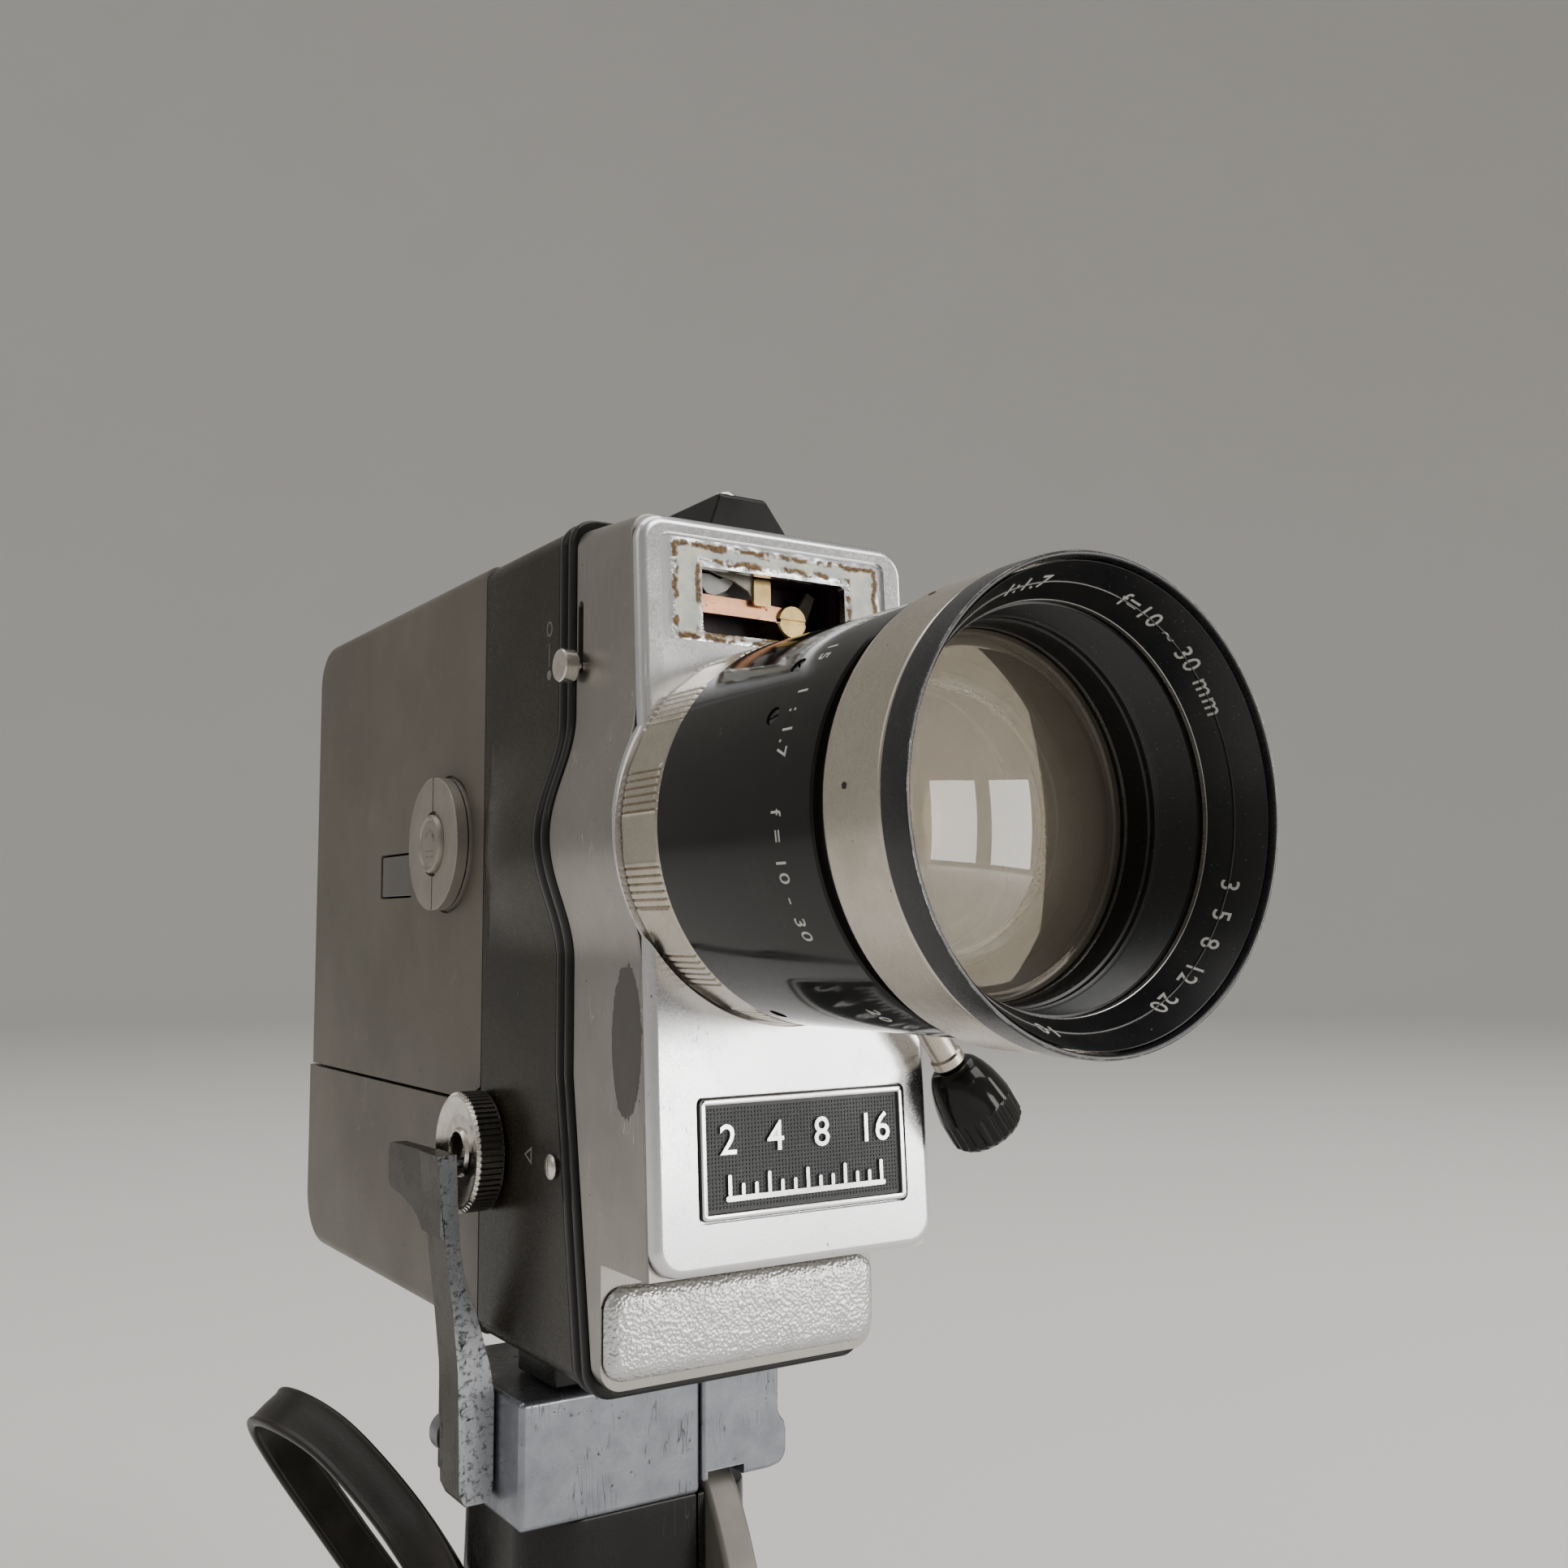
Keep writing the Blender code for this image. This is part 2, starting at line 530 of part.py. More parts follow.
def dial(camera, name, side, face, material):
    """A knurled dial with a hub through the wall, on the left (-1) or the right (1) side."""
    centre = (DIAL_Y, DIAL_Z)
    profile = [(3.7, face), (8.2, face), (DIAL_R, face - 0.8), (DIAL_R, HALF + 0.5), (3.9, HALF + 0.5)]
    profile += [(3.9, HALF - 3.2), (3.7, HALF - 3.2)]
    profile = [(radius, side * along) for radius, along in profile]
    profile[-1] = (3.3, profile[-1][1])
    profile[0] = (3.3, profile[0][1])
    return node(name, turned("X", profile, centre), material, camera, (side * HALF, *centre))


def make_controls(camera):
    dark = paint("dial_dark", (0.16, 0.15, 0.14), 0.4, 0.9)
    chrome = paint("button_chrome", (0.75, 0.72, 0.66), 0.2, 1.0)
    dial(camera, "run_dial", -1, -DIAL_FACE, dark)
    button = [(0, -27.7), (1.3, -27.7), (2.6, -27.7), (3.0, -27.2), (3.0, -19.0), (0, -19.0)]
    release = node("release_button", turned("X", button, (DIAL_Y, DIAL_Z), SMALL_ROUND), chrome, camera)
    cut(release, disc("X", 1.2, -30, -25, (DIAL_Y, DIAL_Z), SMALL_ROUND), "cable_socket")
    knob = disc("X", 2.6, -27.4, -24.9, (SLOT_Y + 0.7, SLOT_Z), SMALL_ROUND, 0.4)
    slider = node("mode_slider", knob, chrome, camera, (0, SLOT_Y, SLOT_Z))
    join(slider, disc("X", 0.65, -25.2, -21.4, (SLOT_Y, SLOT_Z), SMALL_ROUND), "stem")
    join(slider, box(-21.8, -21.0, SLOT_Y - 2.2, SLOT_Y + 1.2, SLOT_Z - 2.4, SLOT_Z + 2.4), "wiper")
    dial(camera, "speed_dial", 1, 27.4, dark)
    hub = disc("X", 3.0, 19.0, 27.0, (DIAL_Y, DIAL_Z), SMALL_ROUND, 0.3)
    node("test_button", hub, paint("button_red", (0.4, 0.03, 0.02), 0.4, 0.0), camera)


# ---------------------------------------------------------------- mechanism
def toothed(radius, teeth, depth, phase=0):
    """A gear's outline with a gap at angle 0, or a tooth there with a phase of 1."""
    points = []
    for i in range(teeth * 2):
        angle = math.pi * (i + phase) / teeth
        for shift in (-0.2, 0.2):
            r = radius + (depth if i % 2 else -depth) / 2
            a = angle + shift * math.pi / teeth
            points.append((r * math.cos(a), r * math.sin(a)))
    return points


def moved(points, centre):
    return [(a + centre[0], b + centre[1]) for a, b in points]


def make_mechanism(camera):
    steel = paint("pin_steel", (0.6, 0.6, 0.6), 0.3, 1.0)
    black = paint("chamber_black", (0.02, 0.02, 0.02), 0.7, 0.0)
    brass = paint("brass", (0.65, 0.50, 0.25), 0.35, 1.0)
    wall = node("mechanism_plate", box(CHAMBER_X, CHAMBER_X + 1.6, 64.8, 152.0, -39.5, 43.0), black, camera)
    cut(wall, disc("X", 2.4, 0, 9, (SPINDLE_Y, SPINDLE_Z), SMALL_ROUND), "spindle_hole")
    gate = node("film_gate", box(-17.0, 21.5, GATE_Y, GATE_Y + 1.6, -39.5, 46.0), steel, camera)
    cut(gate, box(-2.9, 2.9, 50, 70, -2.1, 2.1), "aperture")
    cut(gate, disc("Y", 1.6, 50, 70, (SHUTTER[0], SHUTTER[1]), SMALL_ROUND), "shaft_hole")
    spindle = disc("X", 2.0, -9.0, 9.0, (SPINDLE_Y, SPINDLE_Z), SMALL_ROUND, 0.5)
    take_up = node("take_up_spindle", spindle, steel, camera, (0, SPINDLE_Y, SPINDLE_Z))
    join(take_up, box(-8.0, -2.0, SPINDLE_Y - 4.0, SPINDLE_Y + 4.0, SPINDLE_Z - 0.6, SPINDLE_Z + 0.6), "fins")
    join(take_up, disc("X", 8.0, 6.4, 8.2, (SPINDLE_Y, SPINDLE_Z)), "take_up_wheel")
    x, z, radius = SHUTTER
    blade = [(x + 1.5, z + 1.5)] + moved(arc(0, 0, radius, 20, 250, 24), (x, z))
    shutter = node("shutter_disc", prism("Y", blade, 56.0, 56.6), black, camera, (x, 56, z))
    join(shutter, disc("Y", 3.0, 53.0, 57.6, (x, z), SMALL_ROUND), "hub")
    join(shutter, disc("Y", 1.3, 48.0, 64.0, (x, z), SMALL_ROUND), "shaft")
    motor_case = disc("X", 10.5, 9.6, 21.4, (MOTOR_Y, MOTOR_Z), ROUND, 0.6)
    motor = node("motor", motor_case, steel, camera)
    cut(motor, disc("X", 1.4, 8, 14, (MOTOR_Y, MOTOR_Z), SMALL_ROUND), "shaft_hole")
    pinion = prism("X", moved(toothed(PINION_R, PINION_TEETH, 0.9), (MOTOR_Y, MOTOR_Z)), 6.4, 8.2)
    small = node("motor_pinion", pinion, brass, camera, (0, MOTOR_Y, MOTOR_Z))
    join(small, disc("X", 1.0, 6.4, 13.0, (MOTOR_Y, MOTOR_Z), SMALL_ROUND), "shaft")
    gear_y = MOTOR_Y + GEAR_R + PINION_R + 0.35
    wheel = prism("X", moved(toothed(GEAR_R, GEAR_TEETH, 0.9, 1), (gear_y, MOTOR_Z)), 6.4, 8.2)
    gear = node("drive_gear", wheel, brass, camera, (0, gear_y, MOTOR_Z))
    join(gear, disc("X", 1.5, 6.0, 14.0, (gear_y, MOTOR_Z), SMALL_ROUND), "shaft")


# ---------------------------------------------------------------- lens
def make_lens(camera):
    gloss = paint("barrel_black", (0.012, 0.012, 0.012), 0.12, 0.0)
    silver = paint("lens_silver", (0.72, 0.72, 0.70), 0.3, 1.0)
    matt = paint("cell_black", (0.02, 0.02, 0.02), 0.5, 0.0)
    glass = paint("lens_glass", (0.35, 0.28, 0.2), 0.02, 0.0)
    mount = [(17.0, -17.0), (MOUNT_R, -17.0), (MOUNT_R, 8.0), (23.5, 8.0), (23.5, 10.0), (17.0, 10.0)]
    node("lens_mount", turned("Y", mount, steps=LENS_ROUND), silver, camera)
    zoom = [(MOUNT_R + 0.4, ZOOM_FRONT), (27.0, ZOOM_FRONT), (BARREL_R, ZOOM_FRONT + 0.8)]
    zoom += [(BARREL_R, ZOOM_BACK - 0.8), (27.0, ZOOM_BACK), (MOUNT_R + 0.4, ZOOM_BACK)]
    node("zoom_ring", turned("Y", zoom, steps=LENS_ROUND), silver, camera)
    barrel = [(25.2, -51.7), (27.0, -51.7), (27.0, BARREL_STEP), (BARREL_R, BARREL_STEP)]
    barrel += [(BARREL_R, BARREL_BACK), (MOUNT_R + 0.4, BARREL_BACK), (MOUNT_R + 0.4, -14.0), (25.2, -14.0)]
    node("lens_barrel", turned("Y", barrel, steps=LENS_ROUND), gloss, camera)
    focus = [(26.4, RIM_BACK + 0.2), (28.6, RIM_BACK + 0.2), (28.8, -63.0), (28.8, FOCUS_BACK - 0.3)]
    focus += [(28.4, FOCUS_BACK), (26.4, FOCUS_BACK)]
    node("focus_ring", turned("Y", focus, steps=LENS_ROUND), silver, camera)
    rim = [(28.4, RIM_FRONT + 0.2), (RIM_R, RIM_FRONT), (RIM_R, RIM_BACK), (28.2, RIM_BACK)]
    node("front_rim", turned("Y", rim, steps=LENS_ROUND), gloss, camera)
    name = [(24.7, -60.3), (27.9, -67.2), (27.9, -63.8), (26.1, -63.6), (26.1, -59.7), (24.7, -59.7)]
    node("name_ring", turned("Y", name, steps=LENS_ROUND), matt, camera)
    cell = [(23.8, -59.4), (26.1, -59.4), (26.1, -52.2), (24.9, -52.2), (24.9, -40.0), (22.0, -40.0), (22.0, -41.8), (23.8, -41.8)]
    node("front_cell", turned("Y", cell, steps=LENS_ROUND), matt, camera)
    front = [(0, -50.6), (8, -50.2), (16, -48.9), (23.5, -46.6), (23.5, -42.3), (0, -42.3)]
    node("front_lens", turned("Y", front, steps=LENS_ROUND), glass, camera)
    variator = [(0, -34.0), (12.0, -32.5), (16.0, -35.0), (24.4, -35.0), (24.4, -28.0), (12.0, -28.0), (0, -30.0)]
    node("variator_cell", turned("Y", variator), matt, camera)
    relay = [(0, -6.0), (11.0, -4.5), (16.6, -5.0), (16.6, 9.0), (9.0, 9.0), (0, 7.0)]
    node("relay_cell", turned("Y", relay), matt, camera)
    node("finder_prism", prism("X", [(14.0, -7.0), (28.0, -7.0), (28.0, 7.0), (14.0, 7.0)], -7.0, 7.0), glass, camera)
    make_zoom_handle(camera, silver, gloss)


def make_zoom_handle(camera, silver, gloss):
    """The stem and the teardrop knob stand straight out from the zoom ring."""
    turn = Matrix.Rotation(math.radians(-KNOB_ANGLE - 90), 4, "Y")
    lift = Matrix.Translation((0, KNOB_Y, 0))
    stem = turned("Z", [(0, -28.2), (2.2, -28.2), (2.2, -43.0), (0, -43.0)], steps=SMALL_ROUND)
    knob = [(0, -43.3), (3.6, -43.3), (5.2, -46.0), (6.0, -50.0), (6.0, -53.5), (5.0, -56.0), (0, -56.6)]
    for name, shape, material in (("zoom_stem", stem, silver), ("zoom_knob", turned("Z", knob, steps=24), gloss)):
        bmesh.ops.transform(shape, matrix=lift @ turn, verts=shape.verts)
        node(name, shape, material, camera)


# ---------------------------------------------------------------- grip
def make_clamp(camera):
    worn = paint("worn_blue_grey", (0.42, 0.44, 0.48), 0.4, 0.8)
    black = paint("grip_black", (0.02, 0.02, 0.02), 0.35, 0.0)
    steel = paint("pin_steel", (0.6, 0.6, 0.6), 0.3, 1.0)
    neck = node("clamp_neck", box(-17, 17, 42, 57, BLOCK_TOP + GAP, BOTTOM - GAP), black, camera)
    cut(neck, disc("Z", 3.6, -95, -75, (0, 49), SMALL_ROUND), "screw_hole")
    block = node("clamp_block", box(-24, SPLIT_X - 0.2, BLOCK_FRONT, BLOCK_BACK, BLOCK_BOTTOM, BLOCK_TOP), worn, camera)
    soften(block, 1.0, 2)
    cut(block, disc("Z", 3.6, -120, -75, (0, 49), SMALL_ROUND), "screw_hole")
    cut(block, disc("Z", 6.4, -120, -104.0, (0, 49), ROUND), "screw_seat")
    join(block, prism("Y", rounded(-30, -20, PIVOT_Z - 3.2, PIVOT_Z + 3.2, (3, 0, 0, 3), 4), 60.0, 63.5), "lug")
    cut(block, disc("Y", 1.75, 55, 62.2, (PIVOT_X, PIVOT_Z), SMALL_ROUND), "pin_seat")
    outline = [(SPLIT_X + 0.2, -107.0), (22.5, -107.0), (25.8, -104.5), (26.1, -101.0), (24.9, -98.5), (24.5, BLOCK_TOP)]
    cheek = node("clamp_cheek", prism("Y", outline + [(SPLIT_X + 0.2, BLOCK_TOP)], BLOCK_FRONT, BLOCK_BACK), worn, camera)
    soften(cheek, 0.8, 2)
    cut(cheek, box(TRIGGER_X - 3.6, TRIGGER_X + 3.6, 36, 54, -110, -105.2), "trigger_gap")
    screw = [(0, -80.2), (3.2, -80.2), (3.2, -104.4), (6.0, -104.4), (6.0, -107.6), (0, -107.6)]
    node("tripod_screw", turned("Z", screw, (0, 49), SMALL_ROUND), steel, camera)
    pin = disc("Y", 1.5, 50.0, 61.9, (PIVOT_X, PIVOT_Z), SMALL_ROUND)
    node("arm_pivot_pin", pin, steel, camera)


def grip_ring(z, side):
    """Half of the grip's section: the left half up to the split, or the right half from it."""
    swollen = 1.5 * math.sin(math.pi * (z - BASE_Z) / 92) ** 2
    front, back, half = 41.0 - 0.6 * swollen, 76.5 + swollen, 21.0 + 0.4 * swollen
    steps = 6
    if side < 0:
        corner = arc(-half + 9, front + 9, 9, 270, 180, steps) + arc(-half + 9, back - 9, 9, 180, 90, steps)
        edge = SPLIT_X - 0.2
    else:
        corner = arc(half - 7, front + 7, 7, 270, 360, steps) + arc(half - 7, back - 7, 7, 0, 90, steps)
        edge = SPLIT_X + 0.2
    return [(x, y, z) for x, y in [(edge, front)] + corner + [(edge, back)]]


def make_grip(camera):
    black = paint("grip_black", (0.02, 0.02, 0.02), 0.35, 0.0)
    top, low = BLOCK_BOTTOM - GAP, BASE_Z + 3.3
    levels = [top + (low - top) * i / 6 for i in range(7)]
    node("grip_left", skin([grip_ring(z, -1) for z in levels]), black, camera)
    right = node("grip_right", skin([grip_ring(z, 1) for z in levels]), black, camera)
    cut(right, box(TRIGGER_X - 3.5, TRIGGER_X + 3.5, 20, 57, -158, -100), "trigger_slot")
    cut(right, disc("X", 1.3, 0, 30, (TRIGGER_Y, TRIGGER_Z), SMALL_ROUND), "pin_hole")
    outline = rounded(-22.5, 22.5, BASE_Y - 20.5, BASE_Y + 20.5, (9,) * 4, 5)
    cap = node("base_cap", prism("Z", outline, BASE_Z, BASE_Z + 3.0), paint("cap_black", (0.03, 0.03, 0.03), 0.5, 0.0), camera)
    soften(cap, 0.5, 2)
    pin = disc("X", 1.1, SPLIT_X + 0.4, 20.4, (TRIGGER_Y, TRIGGER_Z), SMALL_ROUND)
    node("trigger_pin", pin, paint("pin_steel", (0.6, 0.6, 0.6), 0.3, 1.0), camera)


def make_trigger(camera):
    grey = paint("trigger_grey", (0.42, 0.40, 0.35), 0.5, 0.2)
    front = [(43.0, -106.6), (40.0, -109.5), (36.5, -115.0), (33.6, -121.0), (32.2, -128.0), (32.6, -137.0), (34.5, -146.0)]
    back = [(39.0, -148.5), (42.0, -146.0), (42.0, -132.0), (44.5, -124.0), (52.0, -117.0), (52.5, -108.5), (50.0, -106.6)]
    low, high = TRIGGER_X - TRIGGER_WIDE / 2, TRIGGER_X + TRIGGER_WIDE / 2
    trigger = node("trigger", prism("X", front + back, low, high), grey, camera, (TRIGGER_X, TRIGGER_Y, TRIGGER_Z))
    soften(trigger, 0.8, 2)
    cut(trigger, disc("X", 1.25, 0, 30, (TRIGGER_Y, TRIGGER_Z), SMALL_ROUND), "pin_hole")


def make_release_arm(camera):
    lacquer = paint("arm_lacquer", (0.03, 0.03, 0.03), 0.3, 0.2)
    outer = [(-34.8, -50.4), (-33.6, -60.5), (-31.9, -74.6), (-30.8, -85.0), (-30.3, -104.0), (-29.3, -106.0)]
    inner = [(-25.0, -106.0), (-24.5, -103.0), (-24.5, -89.2), (-25.2, -84.9), (-26.5, -80.2), (-28.0, -75.1), (-30.0, -69.3), (-30.9, -62.4), (-31.5, -50.4)]
    outline = outer + inner
    arm = node("release_arm", prism("Y", outline, 49.0, 57.5), lacquer, camera, (PIVOT_X, 53, PIVOT_Z))
    hook = [(49.5, -50.5), (73.9, -50.9), (75.2, -52.2), (75.0, -57.2), (73.4, -58.7), (62.5, -60.6), (58.0, -63.5), (49.5, -63.8)]
    join(arm, prism("X", hook, -33.9, -31.4), "hook")
    cut(arm, disc("Y", 1.65, 40, 70, (PIVOT_X, PIVOT_Z), SMALL_ROUND), "pin_hole")
    join(arm, disc("X", 0.9, -32.0, -27.9, (DIAL_Y, DIAL_Z - 1.7), SMALL_ROUND), "plunger")


# ---------------------------------------------------------------- wrist strap
def strap_route():
    """The strap's own points: up and out of the grip's left side, round, and back to its heel."""
    return [
        (-23.2, 60.0, -132.0),
        (-24.6, 69.0, -126.0),
        (-29.0, 82.5, -116.5),
        (-35.5, 97.0, -107.5),
        (-41.0, 109.0, -104.0),
        (-41.5, 121.0, -107.0),
        (-35.5, 125.5, -117.5),
        (-25.0, 122.0, -134.0),
        (-14.0, 112.0, -152.0),
        (-6.0, 98.0, -172.0),
        (-2.0, 86.0, -187.0),
        (0.0, 78.9, -192.0),
    ]


def smooth_path(points, per_span):
    """Points of a Catmull-Rom curve through the given points."""
    knots = [Vector(p) for p in points]
    knots = [2 * knots[0] - knots[1]] + knots + [2 * knots[-1] - knots[-2]]
    path = []
    for a, b, c, d in zip(knots, knots[1:], knots[2:], knots[3:]):
        for i in range(per_span):
            t = i / per_span
            path.append(0.5 * (2 * b + (c - a) * t + (2 * a - 5 * b + 4 * c - d) * t * t + (3 * b - a - 3 * c + d) * t**3))
    return path + [knots[-2]]


def strap_across(share):
    """Which way the strap's width points: flat on the grip's side, then slanting, then level at the heel."""
    turns = ((0.0, (0, -0.55, 0.83)), (0.16, (0.8, 0.12, 0.59)), (0.6, (0.8, 0.12, 0.59)), (0.95, (1, 0, 0)))
    for (start, before), (end, after) in zip(turns, turns[1:]):
        if share <= end:
            return Vector(before).lerp(Vector(after), max(share - start, 0) / (end - start))
    return Vector(turns[-1][1])


def make_strap(camera):
    """A flat strap: one section carried along its route."""
    leather = paint("strap_black", (0.015, 0.015, 0.015), 0.5, 0.0)
    path = smooth_path(strap_route(), 3)
    half, thick = STRAP_WIDE / 2, STRAP_THICK / 2
    section = [(-half, -0.4 * thick), (-0.8 * half, -thick), (0.8 * half, -thick), (half, -0.4 * thick)]
    section += [(-a, -b) for a, b in section]
    rings = []
    for i, point in enumerate(path):
        along = (path[min(i + 1, len(path) - 1)] - path[max(i - 1, 0)]).normalized()
        across = strap_across(i / (len(path) - 1))
        across = (across - along * across.dot(along)).normalized()
        out = along.cross(across)
        rings.append([tuple(point + across * a + out * b) for a, b in section])
    node("wrist_strap", skin(rings), leather, camera)


def main():
    clear_scene()
    camera = empty("camera", None, (0, -BASE_Y, -BASE_Z))
    bpy.context.view_layer.update()
    make_housing(camera)
    make_front_plate(camera)
    make_nameplate(camera)
    make_ledge(camera)
    make_window_parts(camera)
    make_gasket(camera)
    make_middle_band(camera)
    make_rear_shell(camera)
    hinge = make_film_door(camera)
    make_door_lock(camera, hinge)
    make_battery_cover(camera)
    make_top(camera)
    make_eyepiece(camera)
    make_controls(camera)
    make_mechanism(camera)
    make_lens(camera)
    make_clamp(camera)
    make_grip(camera)
    make_trigger(camera)
    make_release_arm(camera)
    make_strap(camera)


main()
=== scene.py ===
import math

import bmesh
import bpy
from mathutils import Matrix, Vector, noise


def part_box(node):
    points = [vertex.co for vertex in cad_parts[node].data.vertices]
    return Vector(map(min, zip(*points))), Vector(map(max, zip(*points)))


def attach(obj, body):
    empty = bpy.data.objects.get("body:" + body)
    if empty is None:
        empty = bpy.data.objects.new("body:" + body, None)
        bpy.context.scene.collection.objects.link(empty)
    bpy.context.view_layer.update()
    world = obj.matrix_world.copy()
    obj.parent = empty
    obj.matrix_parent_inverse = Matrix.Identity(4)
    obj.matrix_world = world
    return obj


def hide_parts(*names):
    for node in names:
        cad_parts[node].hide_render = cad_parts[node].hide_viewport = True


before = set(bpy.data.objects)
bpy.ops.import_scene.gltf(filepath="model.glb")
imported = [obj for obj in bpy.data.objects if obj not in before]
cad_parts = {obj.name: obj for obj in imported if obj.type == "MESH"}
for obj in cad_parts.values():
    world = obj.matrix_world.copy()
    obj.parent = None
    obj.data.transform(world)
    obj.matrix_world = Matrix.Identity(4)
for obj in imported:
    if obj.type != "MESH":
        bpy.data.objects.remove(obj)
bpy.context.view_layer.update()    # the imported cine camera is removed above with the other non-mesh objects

mm = 0.001

# All shapes below are in millimetres from the lens axis: x across, y towards the eyepiece, z up.
barrelLow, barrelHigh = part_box("lens_barrel")
lensAt = Vector(((barrelLow.x + barrelHigh.x) / 2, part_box("lens_mount")[1].y - 10 * mm,
                 (barrelLow.z + barrelHigh.z) / 2))


def nodeBox(name):
    low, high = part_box(name)
    return (low - lensAt) / mm, (high - lensAt) / mm


# ---- camera, first, because the strap is judged by what it sees
view = {"lens": 35.52, "place": (-126.435, -194.501, -14.114), "turn": 33.0956, "rise": 5.3491, "roll": -0.2627}
shot = bpy.data.cameras.new("shot")
shot.lens = view["lens"]
shot.sensor_width = 36
shot.clip_start = 0.01
shot.clip_end = 60
shotStand = bpy.data.objects.new("shot", shot)
bpy.context.scene.collection.objects.link(shotStand)
turn, rise = math.radians(view["turn"]), math.radians(view["rise"])
looks = Vector((math.sin(turn) * math.cos(rise), math.cos(turn) * math.cos(rise), math.sin(rise)))
facing = looks.to_track_quat("-Z", "Y").to_matrix().to_4x4() @ Matrix.Rotation(math.radians(view["roll"]), 4, "Z")
shotStand.matrix_world = Matrix.Translation(lensAt + Vector(view["place"]) * mm) @ facing
bpy.context.scene.camera = shotStand
print("camera set")


# ---- material helpers
def addNode(tree, kind, inputs=None, **settings):
    made = tree.nodes.new("ShaderNode" + kind)
    for key, value in settings.items():
        setattr(made, key, value)
    for key, value in (inputs or {}).items():
        if isinstance(value, bpy.types.NodeSocket):
            tree.links.new(value, made.inputs[key])
        else:
            made.inputs[key].default_value = value
    return made


def calc(tree, what, a, b=0.0):
    return addNode(tree, "Math", {0: a, 1: b}, operation=what).outputs[0]


def spread(tree, value, low, high, toLow=0.0, toHigh=1.0):
    limits = {"Value": value, "From Min": low, "From Max": high, "To Min": toLow, "To Max": toHigh}
    return addNode(tree, "MapRange", limits).outputs[0]


def blendColour(tree, share, a, b):
    made = addNode(tree, "Mix", data_type="RGBA")
    for socket, value in ((made.inputs[0], share), (made.inputs[6], a), (made.inputs[7], b)):
        if isinstance(value, bpy.types.NodeSocket):
            tree.links.new(value, socket)
        else:
            socket.default_value = value if isinstance(value, float) else (*value, 1)
    return made.outputs[2]


def stretched(tree, place, scale, turned=(0, 0, 0)):
    return addNode(tree, "Mapping", {"Vector": place, "Scale": scale, "Rotation": turned}).outputs[0]


def grain(tree, place, size, detail=3.0, rough=0.6, distortion=0.0):
    made = addNode(tree, "TexNoise", {"Vector": place, "Scale": 1 / (size * mm), "Detail": detail,
                                      "Roughness": rough, "Distortion": distortion})
    return made.outputs["Fac"]


# 1 on the flats, falling off within width of an edge
def edgeMask(tree, width):
    soft = addNode(tree, "Bevel", {"Radius": width * mm}, samples=6).outputs[0]
    sharp = addNode(tree, "NewGeometry").outputs["Normal"]
    return addNode(tree, "VectorMath", {0: soft, 1: sharp}, operation="DOT_PRODUCT").outputs["Value"]


finishes = {}


